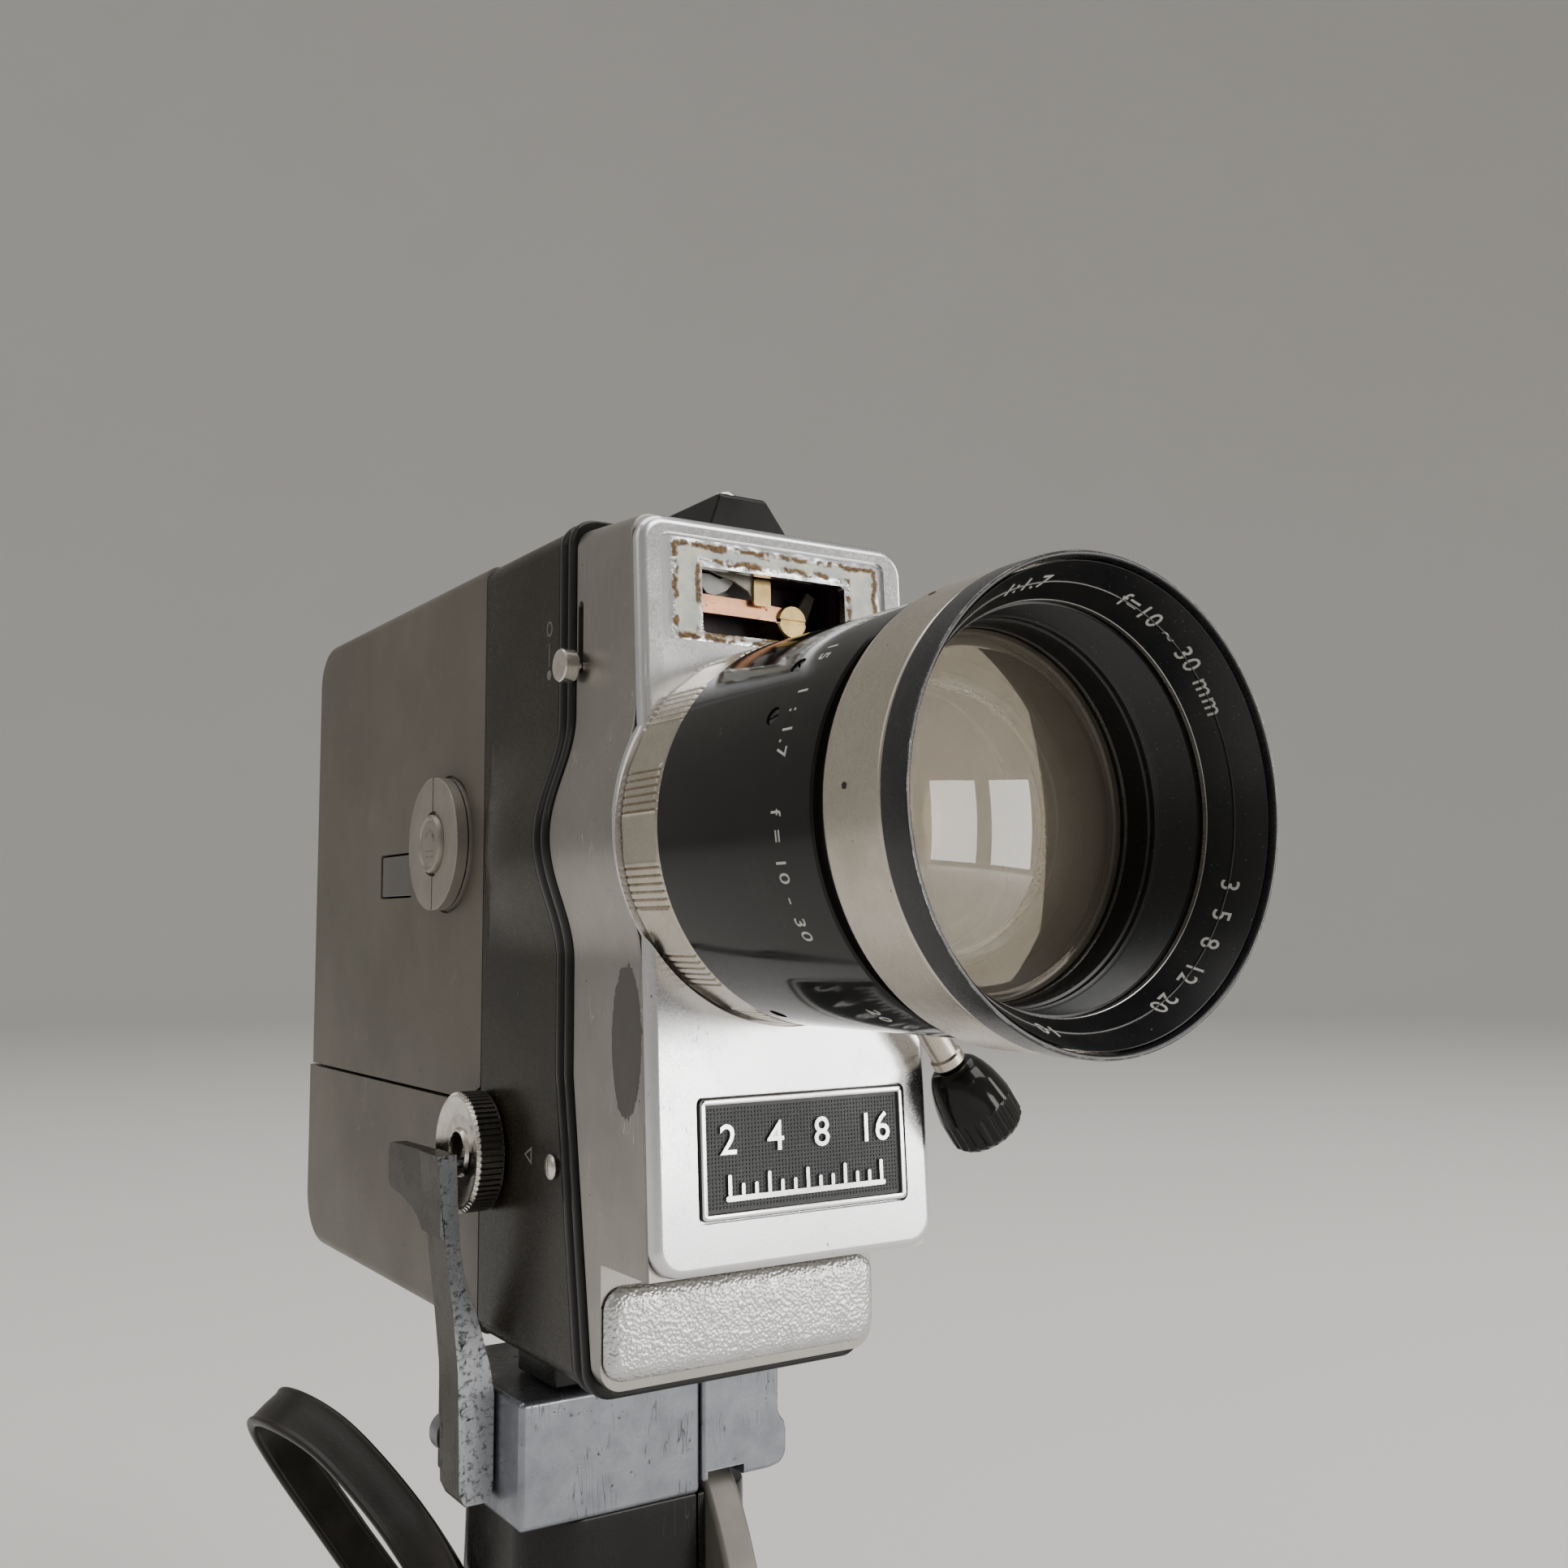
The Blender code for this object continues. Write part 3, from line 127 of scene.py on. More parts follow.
def makeFinish(name, look):
    material = bpy.data.materials.new(name)
    material.use_nodes = True
    tree = material.node_tree
    shader = tree.nodes["Principled BSDF"]
    place = addNode(tree, "TexCoord").outputs["Object"]
    clouds = grain(tree, place, look.get("cloudSize", 14), 4.0, 0.6)
    colour = blendColour(tree, spread(tree, clouds, 0.35, 0.65), look["colour"], look["second"])
    fine = grain(tree, place, look.get("fineSize", 0.25), 2.0, 0.5)
    rough = spread(tree, clouds, 0.3, 0.7, *look["rough"])
    rough = calc(tree, "ADD", rough, spread(tree, fine, 0.3, 0.7, -look.get("fineRough", 0.04),
                                            look.get("fineRough", 0.04)))
    height = calc(tree, "MULTIPLY", fine, look.get("fineHeight", 1.0))
    metal = look.get("metal", 0.0)
    if "brush" in look:    # fine lines along one direction
        lines = grain(tree, stretched(tree, place, look["brush"]), look.get("brushSize", 0.12), 2.0, 0.6)
        rough = calc(tree, "ADD", rough, spread(tree, lines, 0.3, 0.7, -0.06, 0.06))
        colour = blendColour(tree, spread(tree, lines, 0.35, 0.7, 0.0, look.get("brushTint", 0.12)), colour,
                             (0.1, 0.1, 0.1))
        height = calc(tree, "ADD", height, lines)
    if "specks" in look:
        speck = look["specks"]
        dots = spread(tree, grain(tree, place, speck["size"], 1.0, 0.4), speck["level"], speck["level"] + 0.03)
        colour = blendColour(tree, dots, colour, speck["colour"])
        height = calc(tree, "SUBTRACT", height, calc(tree, "MULTIPLY", dots, 1.5))
    if "scratches" in look:
        cut = look["scratches"]
        marks = 0.0
        for slant in cut.get("slants", (0.5, -0.9)):
            lines = grain(tree, stretched(tree, place, (1, 1, 0.09), (slant, slant * 0.7, 0.3)), cut["size"], 1.0,
                          0.5, 0.4)
            thin = spread(tree, calc(tree, "ABSOLUTE", calc(tree, "SUBTRACT", lines, 0.5)), 0.0, cut["width"], 1.0,
                          0.0)
            marks = calc(tree, "MAXIMUM", marks, thin)
        marks = calc(tree, "MULTIPLY", marks,
                     spread(tree, grain(tree, place, cut.get("patch", 9), 3.0), cut["level"], cut["level"] + 0.08))
        colour = blendColour(tree, marks, colour, cut["colour"])
        rough = calc(tree, "ADD", rough, calc(tree, "MULTIPLY", marks, 0.15))
        height = calc(tree, "SUBTRACT", height, calc(tree, "MULTIPLY", marks, 1.5))
    if "chips" in look:    # patches where the finish has come off
        chip = look["chips"]
        gone = grain(tree, place, chip["size"], 6.0, 0.7, 0.3)
        if "side" in chip:    # only on faces that look this way
            normal = addNode(tree, "NewGeometry").outputs["Normal"]
            toward = addNode(tree, "VectorMath", {0: normal, 1: chip["side"]},
                             operation="DOT_PRODUCT").outputs["Value"]
            gone = calc(tree, "ADD", gone, spread(tree, toward, 0.3, 0.95, -0.6, chip.get("lift", 0.15)))
        gone = spread(tree, gone, chip["level"], chip["level"] + chip.get("soft", 0.03))
        colour = blendColour(tree, gone, colour, chip["colour"])
        rough = calc(tree, "ADD", rough, calc(tree, "MULTIPLY", gone, chip.get("rough", 0.1)))
        height = calc(tree, "SUBTRACT", height, calc(tree, "MULTIPLY", gone, 2.0))
        if "metal" in chip:
            metal = spread(tree, gone, 0.0, 1.0, look.get("metal", 0.0), chip["metal"])
    if "patch" in look:    # one dull oval worn into the left side
        worn = look["patch"]
        away = addNode(tree, "VectorMath", {0: place, 1: tuple(lensAt + Vector((-24, *worn["at"])) * mm)},
                       operation="SUBTRACT").outputs["Vector"]
        along, across = worn["size"]
        away = addNode(tree, "VectorMath", {0: away, 1: (0.04 / mm, 1 / (along * mm), 1 / (across * mm))},
                       operation="MULTIPLY").outputs["Vector"]
        away = addNode(tree, "VectorMath", {0: away}, operation="LENGTH").outputs["Value"]
        away = calc(tree, "ADD", away, spread(tree, grain(tree, place, 1.6, 3.0), 0.3, 0.7, -0.05, 0.05))
        oval = spread(tree, away, 0.98, 1.0, 1.0, 0.0)
        rim = calc(tree, "MULTIPLY", spread(tree, calc(tree, "ABSOLUTE", calc(tree, "SUBTRACT", away, 0.99)), 0.0,
                                            0.035, 1.0, 0.0), spread(tree, grain(tree, place, 3.0, 3.0), 0.5, 0.6))
        colour = blendColour(tree, calc(tree, "MAXIMUM", calc(tree, "MULTIPLY", oval, 0.85), rim), colour,
                             worn["colour"])
        rough = calc(tree, "ADD", rough, calc(tree, "MULTIPLY", oval, 0.14))
    if "wear" in look:    # rubbed edges
        wear = look["wear"]
        rubbed = spread(tree, edgeMask(tree, wear["width"]), 0.985, 0.86)
        rubbed = calc(tree, "MULTIPLY", rubbed,
                      spread(tree, grain(tree, place, wear.get("size", 2), 4.0, 0.7), wear["level"],
                             wear["level"] + 0.1))
        colour = blendColour(tree, rubbed, colour, wear["colour"])
        if "metal" in wear:
            metal = calc(tree, "MAXIMUM", metal, calc(tree, "MULTIPLY", rubbed, wear["metal"]))
    if "hammer" in look:
        beat = look["hammer"]
        dents = addNode(tree, "TexVoronoi", {"Vector": place, "Scale": 1 / (beat["size"] * mm)},
                        feature="SMOOTH_F1").outputs["Distance"]
        height = calc(tree, "ADD", height, calc(tree, "MULTIPLY", dents, beat["height"]))
    rough = spread(tree, rough, 0.03, 1.0, 0.03, 1.0)
    tree.links.new(colour, shader.inputs["Base Color"])
    tree.links.new(rough, shader.inputs["Roughness"])
    if isinstance(metal, float):
        shader.inputs["Metallic"].default_value = metal
    else:
        tree.links.new(metal, shader.inputs["Metallic"])
    bump = addNode(tree, "Bump", {"Strength": look.get("bump", 0.3), "Distance": look.get("depth", 0.02) * mm,
                                  "Height": height})
    tree.links.new(bump.outputs[0], shader.inputs["Normal"])
    for key, socket in (("coat", "Coat Weight"), ("coatRough", "Coat Roughness"), ("sheen", "Sheen Weight"),
                        ("ior", "IOR"), ("specular", "Specular IOR Level")):
        if key in look:
            shader.inputs[socket].default_value = look[key]
    finishes[name] = material
    return material


makeFinish("satin_aluminium", {"colour": (0.42, 0.40, 0.37), "second": (0.36, 0.345, 0.32), "rough": (0.30, 0.40),
                               "metal": 1.0, "cloudSize": 22, "brush": (1, 1, 0.02), "brushTint": 0.05,
                               "patch": {"at": (4.0, -30.0), "size": (4.6, 11.0), "colour": (0.13, 0.12, 0.11)},
                               "specks": {"size": 0.9, "level": 0.80, "colour": (0.05, 0.04, 0.03)},
                               "scratches": {"size": 2.2, "width": 0.006, "level": 0.55,
                                             "colour": (0.75, 0.73, 0.70)}, "bump": 0.12})
makeFinish("satin_chrome", {"colour": (0.86, 0.86, 0.88), "second": (0.80, 0.80, 0.83), "rough": (0.20, 0.28),
                            "metal": 1.0, "cloudSize": 12, "fineSize": 0.3,
                            "specks": {"size": 0.8, "level": 0.80, "colour": (0.30, 0.28, 0.25)},
                            "scratches": {"size": 1.6, "width": 0.008, "level": 0.56, "colour": (0.62, 0.62, 0.64)},
                            "bump": 0.12})
makeFinish("hammered_chrome", {"colour": (0.74, 0.74, 0.75), "second": (0.62, 0.62, 0.62), "rough": (0.26, 0.38),
                               "metal": 1.0, "cloudSize": 3, "fineSize": 0.35, "hammer": {"size": 0.5, "height": 3.0},
                               "bump": 0.75, "depth": 0.08})
makeFinish("badge_black", {"colour": (0.012, 0.014, 0.018), "second": (0.022, 0.024, 0.030), "rough": (0.32, 0.45),
                           "bump": 0.3})
makeFinish("badge_chrome", {"colour": (0.90, 0.90, 0.90), "second": (0.84, 0.84, 0.85), "rough": (0.12, 0.2),
                            "metal": 1.0, "bump": 0.1})
makeFinish("gasket_black", {"colour": (0.005, 0.005, 0.005), "second": (0.008, 0.008, 0.008), "specular": 0.3,
                            "rough": (0.14, 0.24), "bump": 0.15,
                            "wear": {"width": 0.3, "level": 0.62, "colour": (0.06, 0.06, 0.06)}})
makeFinish("band_brown", {"colour": (0.026, 0.021, 0.015), "second": (0.018, 0.015, 0.011), "rough": (0.24, 0.34),
                          "metal": 0.08, "specular": 0.28, "cloudSize": 30, "fineSize": 0.35, "fineRough": 0.08,
                          "specks": {"size": 1.0, "level": 0.79, "colour": (0.12, 0.11, 0.10)}, "bump": 0.22})
makeFinish("warm_grey_paint", {"colour": (0.165, 0.148, 0.122), "second": (0.138, 0.124, 0.102),
                               "rough": (0.38, 0.47), "metal": 0.35, "cloudSize": 34, "fineSize": 0.3,
                               "fineRough": 0.07, "specks": {"size": 1.1, "level": 0.795,
                                                             "colour": (0.05, 0.045, 0.04)},
                               "scratches": {"size": 2.6, "width": 0.006, "level": 0.60, "patch": 14,
                                             "colour": (0.33, 0.31, 0.28)}, "bump": 0.22,
                               "wear": {"width": 0.25, "level": 0.60, "colour": (0.45, 0.43, 0.40)}})
makeFinish("smoked_window", {"colour": (0.050, 0.044, 0.038), "second": (0.036, 0.032, 0.028), "rough": (0.10, 0.18),
                             "coat": 0.5, "coatRough": 0.08,
                             "scratches": {"size": 1.2, "width": 0.008, "level": 0.5, "colour": (0.12, 0.11, 0.10)},
                             "bump": 0.1})
makeFinish("lock_grey", {"colour": (0.37, 0.345, 0.30), "second": (0.31, 0.29, 0.255), "rough": (0.36, 0.48),
                         "metal": 0.55, "cloudSize": 8, "fineSize": 0.22, "bump": 0.3,
                         "wear": {"width": 0.35, "level": 0.42, "colour": (0.62, 0.60, 0.55), "metal": 0.9}})
makeFinish("pin_steel", {"colour": (0.58, 0.57, 0.55), "second": (0.46, 0.45, 0.43), "rough": (0.25, 0.4),
                         "metal": 1.0, "cloudSize": 4, "bump": 0.2})
makeFinish("cell_jacket", {"colour": (0.30, 0.07, 0.03), "second": (0.24, 0.06, 0.03), "rough": (0.3, 0.4),
                           "cloudSize": 10, "bump": 0.1, "coat": 0.3, "coatRough": 0.2})
makeFinish("hump_black", {"colour": (0.006, 0.006, 0.006), "second": (0.011, 0.010, 0.010), "rough": (0.30, 0.42),
                          "specular": 0.25, "cloudSize": 16, "bump": 0.35,
                          "wear": {"width": 0.4, "level": 0.55, "colour": (0.16, 0.15, 0.14), "metal": 0.6}})
makeFinish("screw_chrome", {"colour": (0.80, 0.77, 0.72), "second": (0.66, 0.62, 0.56), "rough": (0.18, 0.3),
                            "metal": 1.0, "cloudSize": 2, "bump": 0.2})
makeFinish("tube_black", {"colour": (0.012, 0.012, 0.013), "second": (0.020, 0.019, 0.018), "rough": (0.25, 0.36),
                          "bump": 0.2})
makeFinish("eyecup_rubber", {"colour": (0.016, 0.016, 0.016), "second": (0.030, 0.028, 0.027), "rough": (0.62, 0.78),
                             "fineSize": 0.15, "bump": 0.5})
makeFinish("dial_dark", {"colour": (0.13, 0.12, 0.108), "second": (0.09, 0.083, 0.075), "rough": (0.34, 0.46),
                         "metal": 0.85, "cloudSize": 4, "bump": 0.25,
                         "wear": {"width": 0.15, "level": 0.5, "colour": (0.40, 0.38, 0.34), "metal": 1.0}})
makeFinish("button_red", {"colour": (0.30, 0.016, 0.012), "second": (0.22, 0.012, 0.01), "rough": (0.25, 0.35),
                          "bump": 0.1})
makeFinish("chamber_black", {"colour": (0.012, 0.012, 0.012), "second": (0.022, 0.022, 0.021), "rough": (0.55, 0.7),
                             "fineSize": 0.2, "bump": 0.4})
makeFinish("brass", {"colour": (0.60, 0.44, 0.19), "second": (0.47, 0.33, 0.14), "rough": (0.25, 0.42), "metal": 1.0,
                     "cloudSize": 2.5, "bump": 0.25})
makeFinish("copper", {"colour": (0.80, 0.42, 0.25), "second": (0.66, 0.32, 0.18), "rough": (0.28, 0.42), "metal": 1.0,
                      "cloudSize": 2.5, "specks": {"size": 0.6, "level": 0.72, "colour": (0.25, 0.10, 0.05)},
                      "bump": 0.3})
makeFinish("lever_grey", {"colour": (0.36, 0.35, 0.30), "second": (0.24, 0.23, 0.19), "rough": (0.4, 0.55),
                          "metal": 0.4, "cloudSize": 2, "bump": 0.3})
makeFinish("white_paint", {"colour": (0.80, 0.80, 0.78), "second": (0.70, 0.70, 0.67), "rough": (0.4, 0.5),
                           "cloudSize": 3, "bump": 0.1})
makeFinish("dark_tray", {"colour": (0.030, 0.010, 0.013), "second": (0.014, 0.006, 0.008), "rough": (0.4, 0.6),
                         "cloudSize": 5, "bump": 0.3})
makeFinish("barrel_black", {"colour": (0.006, 0.006, 0.006), "second": (0.010, 0.009, 0.008), "rough": (0.06, 0.12),
                            "fineRough": 0.015, "cloudSize": 18, "specular": 0.28, "bump": 0.04,
                            "scratches": {"size": 2.0, "width": 0.004, "level": 0.60, "colour": (0.05, 0.045, 0.04)}})
makeFinish("rim_black", {"colour": (0.014, 0.014, 0.016), "second": (0.022, 0.022, 0.025), "rough": (0.2, 0.32),
                         "cloudSize": 6, "bump": 0.15,
                         "wear": {"width": 0.22, "size": 2.4, "level": 0.50, "colour": (0.55, 0.55, 0.55),
                                  "metal": 1.0}})
makeFinish("lens_silver", {"colour": (0.66, 0.61, 0.53), "second": (0.56, 0.51, 0.43), "rough": (0.24, 0.34),
                           "metal": 1.0, "cloudSize": 9, "brush": (0.05, 1, 0.05), "brushTint": 0.05,
                           "specks": {"size": 0.8, "level": 0.79, "colour": (0.09, 0.07, 0.05)}, "bump": 0.12})
makeFinish("cell_black", {"colour": (0.007, 0.007, 0.008), "second": (0.013, 0.012, 0.012), "rough": (0.28, 0.42),
                          "fineSize": 0.2, "bump": 0.15,
                          "specks": {"size": 0.35, "level": 0.73, "colour": (0.10, 0.10, 0.10)}})
makeFinish("cell_bright", {"colour": (0.42, 0.41, 0.40), "second": (0.30, 0.29, 0.28), "rough": (0.25, 0.35),
                           "metal": 1.0, "bump": 0.1})
makeFinish("cell_brown", {"colour": (0.060, 0.050, 0.038), "second": (0.040, 0.034, 0.026), "rough": (0.3, 0.45),
                          "cloudSize": 5, "bump": 0.1})
makeFinish("worn_blue_grey", {"colour": (0.33, 0.35, 0.39), "second": (0.24, 0.25, 0.28), "rough": (0.26, 0.40),
                              "metal": 0.85, "cloudSize": 6, "fineSize": 0.4,
                              "chips": {"size": 3.4, "level": 0.64, "colour": (0.035, 0.033, 0.035), "metal": 0.1},
                              "scratches": {"size": 1.5, "width": 0.012, "level": 0.5, "colour": (0.08, 0.08, 0.09)},
                              "bump": 0.3, "depth": 0.04, "wear": {"width": 0.4, "level": 0.42,
        "colour": (0.62, 0.63, 0.66), "metal": 1.0}})
makeFinish("grip_black", {"colour": (0.007, 0.006, 0.006), "second": (0.012, 0.011, 0.010), "rough": (0.20, 0.30),
                          "specular": 0.3, "cloudSize": 20, "bump": 0.12,
                          "scratches": {"size": 2.4, "width": 0.006, "level": 0.56, "colour": (0.07, 0.07, 0.07)}})
makeFinish("trigger_grey", {"colour": (0.21, 0.20, 0.175), "second": (0.175, 0.165, 0.145), "rough": (0.36, 0.46),
                            "metal": 0.3, "cloudSize": 12, "bump": 0.2,
                            "wear": {"width": 0.4, "level": 0.45, "colour": (0.58, 0.56, 0.50), "metal": 0.6}})
makeFinish("arm_lacquer", {"colour": (0.020, 0.015, 0.010), "second": (0.030, 0.023, 0.015), "specular": 0.25,
                           "rough": (0.22, 0.32), "cloudSize": 9, "bump": 0.3, "depth": 0.04, "metal": 0.1,
                           "chips": {"size": 1.1, "level": 0.52, "soft": 0.16, "side": (0, -1, 0), "lift": 0.18,
                                     "colour": (0.42, 0.435, 0.47), "metal": 0.85, "rough": 0.06},
                           "scratches": {"size": 1.1, "width": 0.02, "level": 0.5, "patch": 4,
                                         "colour": (0.02, 0.02, 0.02)}})
makeFinish("strap_black", {"colour": (0.016, 0.014, 0.011), "second": (0.024, 0.021, 0.017), "specular": 0.3,
                           "rough": (0.30, 0.42), "cloudSize": 7, "fineSize": 0.5, "bump": 0.45, "depth": 0.05,
                           "coat": 0.15, "coatRough": 0.3})
makeFinish("mark_white", {"colour": (0.62, 0.61, 0.58), "second": (0.50, 0.49, 0.46), "rough": (0.45, 0.6),
                          "cloudSize": 1.5, "bump": 0.1})
makeFinish("mark_grey", {"colour": (0.23, 0.225, 0.21), "second": (0.17, 0.165, 0.155), "rough": (0.45, 0.6),
                         "cloudSize": 1.5, "bump": 0.1})
makeFinish("socket_dark", {"colour": (0.006, 0.006, 0.006), "second": (0.012, 0.011, 0.010), "rough": (0.4, 0.5),
                           "bump": 0.1})


def makeGlass(name, look):
    material = bpy.data.materials.new(name)
    material.use_nodes = True
    tree = material.node_tree
    shader = tree.nodes["Principled BSDF"]
    place = addNode(tree, "TexCoord").outputs["Object"]
    haze = grain(tree, place, look["hazeSize"], 5.0, 0.65)
    tint = blendColour(tree, spread(tree, haze, 0.35, 0.7), look["tint"], look["second"])
    tree.links.new(tint, shader.inputs["Base Color"])
    tree.links.new(spread(tree, haze, 0.45, 0.75, *look["rough"]), shader.inputs["Roughness"])
    shader.inputs["Transmission Weight"].default_value = look.get("clear", 1.0)
    shader.inputs["IOR"].default_value = look["ior"]
    finishes[name] = material
    return material


makeGlass("lens_glass", {"tint": (0.62, 0.55, 0.44), "second": (0.54, 0.48, 0.38), "hazeSize": 6,
                         "rough": (0.0, 0.03), "ior": 1.62, "clear": 0.84})
makeGlass("inner_glass", {"tint": (0.88, 0.80, 0.66), "second": (0.80, 0.72, 0.60), "hazeSize": 4,
                          "rough": (0.0, 0.03), "ior": 1.70})


# hazy silver where a pane was glued, with brown rims of old glue round two rectangles
def makeSeatFinish(name, look):
    material = bpy.data.materials.new(name)
    material.use_nodes = True
    tree = material.node_tree
    shader = tree.nodes["Principled BSDF"]
    place = addNode(tree, "TexCoord").outputs["Object"]
    wander = addNode(tree, "TexNoise", {"Vector": place, "Scale": 1 / (look["wander"] * mm), "Detail": 5.0,
                                        "Roughness": 0.65})
    shift = addNode(tree, "VectorMath", {0: wander.outputs["Color"], 1: (0.5, 0.5, 0.5)},
                    operation="SUBTRACT").outputs[0]
    shift = addNode(tree, "VectorMath", {0: shift, "Scale": look["stray"] * mm}, operation="SCALE").outputs[0]
    moved = addNode(tree, "VectorMath", {0: place, 1: shift}, operation="ADD").outputs[0]
    axes = addNode(tree, "SeparateXYZ", {0: moved})
    rims = []
    for low, high, width in look["rims"]:
        middle = (Vector(low) + Vector(high)) / 2
        half = (Vector(high) - Vector(low)) / 2
        reach = []
        for axis, offset in ((0, 0), (2, 1)):
            at = lensAt[axis] + middle[offset] * mm
            away = calc(tree, "ABSOLUTE", calc(tree, "SUBTRACT", axes.outputs[axis], at))
            reach.append(calc(tree, "SUBTRACT", away, half[offset] * mm))
        border = calc(tree, "ABSOLUTE", calc(tree, "MAXIMUM", *reach))
        rims.append((spread(tree, border, width * 0.4 * mm, width * mm, 1.0, 0.0), calc(tree, "MAXIMUM", *reach)))
    between = calc(tree, "MULTIPLY", spread(tree, rims[0][1], -0.2 * mm, 0.2 * mm, 1.0, 0.0),
                   spread(tree, rims[1][1], -0.2 * mm, 0.2 * mm))
    patch = spread(tree, grain(tree, place, 4.5, 3.0), 0.42, 0.50)
    crust = calc(tree, "MAXIMUM", calc(tree, "MULTIPLY", rims[0][0],
                                       spread(tree, grain(tree, place, 3.2, 2.0), 0.40, 0.46)),
                 calc(tree, "MULTIPLY", rims[1][0], patch))
    clouds = grain(tree, place, 2.5, 5.0, 0.6)
    haze = blendColour(tree, spread(tree, clouds, 0.4, 0.62), look["haze"], look["film"])
    colour = blendColour(tree, between, look["clean"], haze)
    crumbs = grain(tree, place, 0.55, 4.0, 0.7)
    glue = blendColour(tree, spread(tree, crumbs, 0.38, 0.62), look["glue"], look["amber"])
    colour = blendColour(tree, crust, colour, glue)
    tree.links.new(colour, shader.inputs["Base Color"])
    tree.links.new(spread(tree, calc(tree, "MAXIMUM", crust, calc(tree, "MULTIPLY", between, 0.6)), 0.0, 1.0, 0.22,
                          0.62), shader.inputs["Roughness"])
    tree.links.new(spread(tree, calc(tree, "MAXIMUM", crust, calc(tree, "MULTIPLY", between, 0.75)), 0.0, 1.0, 0.95,
                          0.0), shader.inputs["Metallic"])
    height = calc(tree, "ADD", calc(tree, "MULTIPLY", crust, calc(tree, "ADD", crumbs, 0.5)),
                  calc(tree, "MULTIPLY", between, 0.25))
    bump = addNode(tree, "Bump", {"Strength": 0.7, "Distance": 0.25 * mm, "Height": height})
    tree.links.new(bump.outputs[0], shader.inputs["Normal"])
    finishes[name] = material


print("finishes made:", len(finishes))


# ---- shape helpers
def arcPoints(a, b, radius, start, end, steps):
    angles = [math.radians(start + (end - start) * i / steps) for i in range(steps + 1)]
    return [(a + radius * math.cos(t), b + radius * math.sin(t)) for t in angles]


def roundedRect(a0, a1, b0, b1, radii, steps=8):
    corners = ((a0 + radii[0], b0 + radii[0], 180), (a1 - radii[1], b0 + radii[1], 270),
               (a1 - radii[2], b1 - radii[2], 0), (a0 + radii[3], b1 - radii[3], 90))
    points = []
    for radius, (a, b, start) in zip(radii, corners):
        points += arcPoints(a, b, radius, start, start + 90, steps) if radius > 0 else [(a, b)]
    return points


def putPoint(axis, a, b, along):
    return {"X": (along, a, b), "Y": (a, along, b), "Z": (a, b, along)}[axis]


def loft(rings, closed=False, capped=True):
    shape = bmesh.new()
    loops = [[shape.verts.new(point) for point in ring] for ring in rings]
    count = len(loops[0])
    pairs = list(zip(loops, loops[1:]))
    if closed:
        pairs.append((loops[-1], loops[0]))
    for first, second in pairs:
        for i in range(count):
            j = (i + 1) % count
            shape.faces.new((first[i], first[j], second[j], second[i]))
    if not closed and capped:
        shape.faces.new(loops[0])
        shape.faces.new(loops[-1])
    return shape


def slab(axis, outline, low, high):
    return loft([[putPoint(axis, a, b, end) for a, b in outline] for end in (low, high)])


def block(x0, x1, y0, y1, z0, z1):
    return slab("Z", [(x0, y0), (x1, y0), (x1, y1), (x0, y1)], z0, z1)


# an outline extruded along an axis, its edge at low rounded off: inset across, rise along
def pillow(axis, outlineAt, low, high, inset, rise, steps=6, both=False):
    rings = []
    for i in range(steps + 1):
        t = math.pi / 2 * i / steps
        rings.append((inset * (1 - math.sin(t)), low + rise * (1 - math.cos(t))))
    ends = [(0, high)]
    if both:
        ends = [(far, high - (along - low)) for far, along in reversed(rings)]
    return loft([[putPoint(axis, a, b, along) for a, b in outlineAt(far)] for far, along in rings + ends])


# rings about an axis; a station's radius is a number or a function of the angle
def spun(axis, stations, centre=(0, 0), steps=128, closed=False):
    rings = []
    for radius, along in stations:
        ring = []
        for i in range(steps):
            t = 2 * math.pi * i / steps
            r = radius(t) if callable(radius) else radius
            ring.append(putPoint(axis, centre[0] + r * math.cos(t), centre[1] + r * math.sin(t), along))
        rings.append(ring)
    return loft(rings, closed)


# a closed (radius, along) profile turned about an axis; a solid one starts and ends on it
def lathe(axis, profile, centre=(0, 0), steps=128):
    if profile[0][0] > 0:
        return spun(axis, profile, centre, steps, True)
    return spun(axis, profile[1:-1], centre, steps)


def rod(axis, radius, low, high, centre=(0, 0), steps=48, chamfer=0.0):
    edge = radius - chamfer
    profile = [(edge, low), (radius, low + chamfer), (radius, high - chamfer),
               (edge, high)] if chamfer else [(radius, low), (radius, high)]
    return spun(axis, profile, centre, steps)


def merged(*shapes):
    whole = shapes[0]
    for shape in shapes[1:]:
        spare = bpy.data.meshes.new("spare")
        shape.to_mesh(spare)
        shape.free()
        whole.from_mesh(spare)
        bpy.data.meshes.remove(spare)
    return whole


# the object of a shape in millimetres, before its finish
def rough(name, shape):
    bmesh.ops.recalc_face_normals(shape, faces=shape.faces)
    shape.transform(Matrix.Translation(lensAt) @ Matrix.Scale(mm, 4))
    mesh = bpy.data.meshes.new(name)
    shape.to_mesh(mesh)
    shape.free()
    made = bpy.data.objects.new(name, mesh)
    bpy.context.scene.collection.objects.link(made)
    return made


def settle(piece):
    graph = bpy.context.evaluated_depsgraph_get()
    mesh = bpy.data.meshes.new_from_object(piece.evaluated_get(graph), depsgraph=graph)
    piece.modifiers.clear()
    piece.data = mesh


def roundEdges(piece, width, segments=3, angle=40):
    edges = piece.modifiers.new("edges", "BEVEL")
    edges.width = width * mm
    edges.segments = segments
    edges.limit_method = "ANGLE"
    edges.angle_limit = math.radians(angle)
    edges.miter_outer = "MITER_ARC"
    return piece


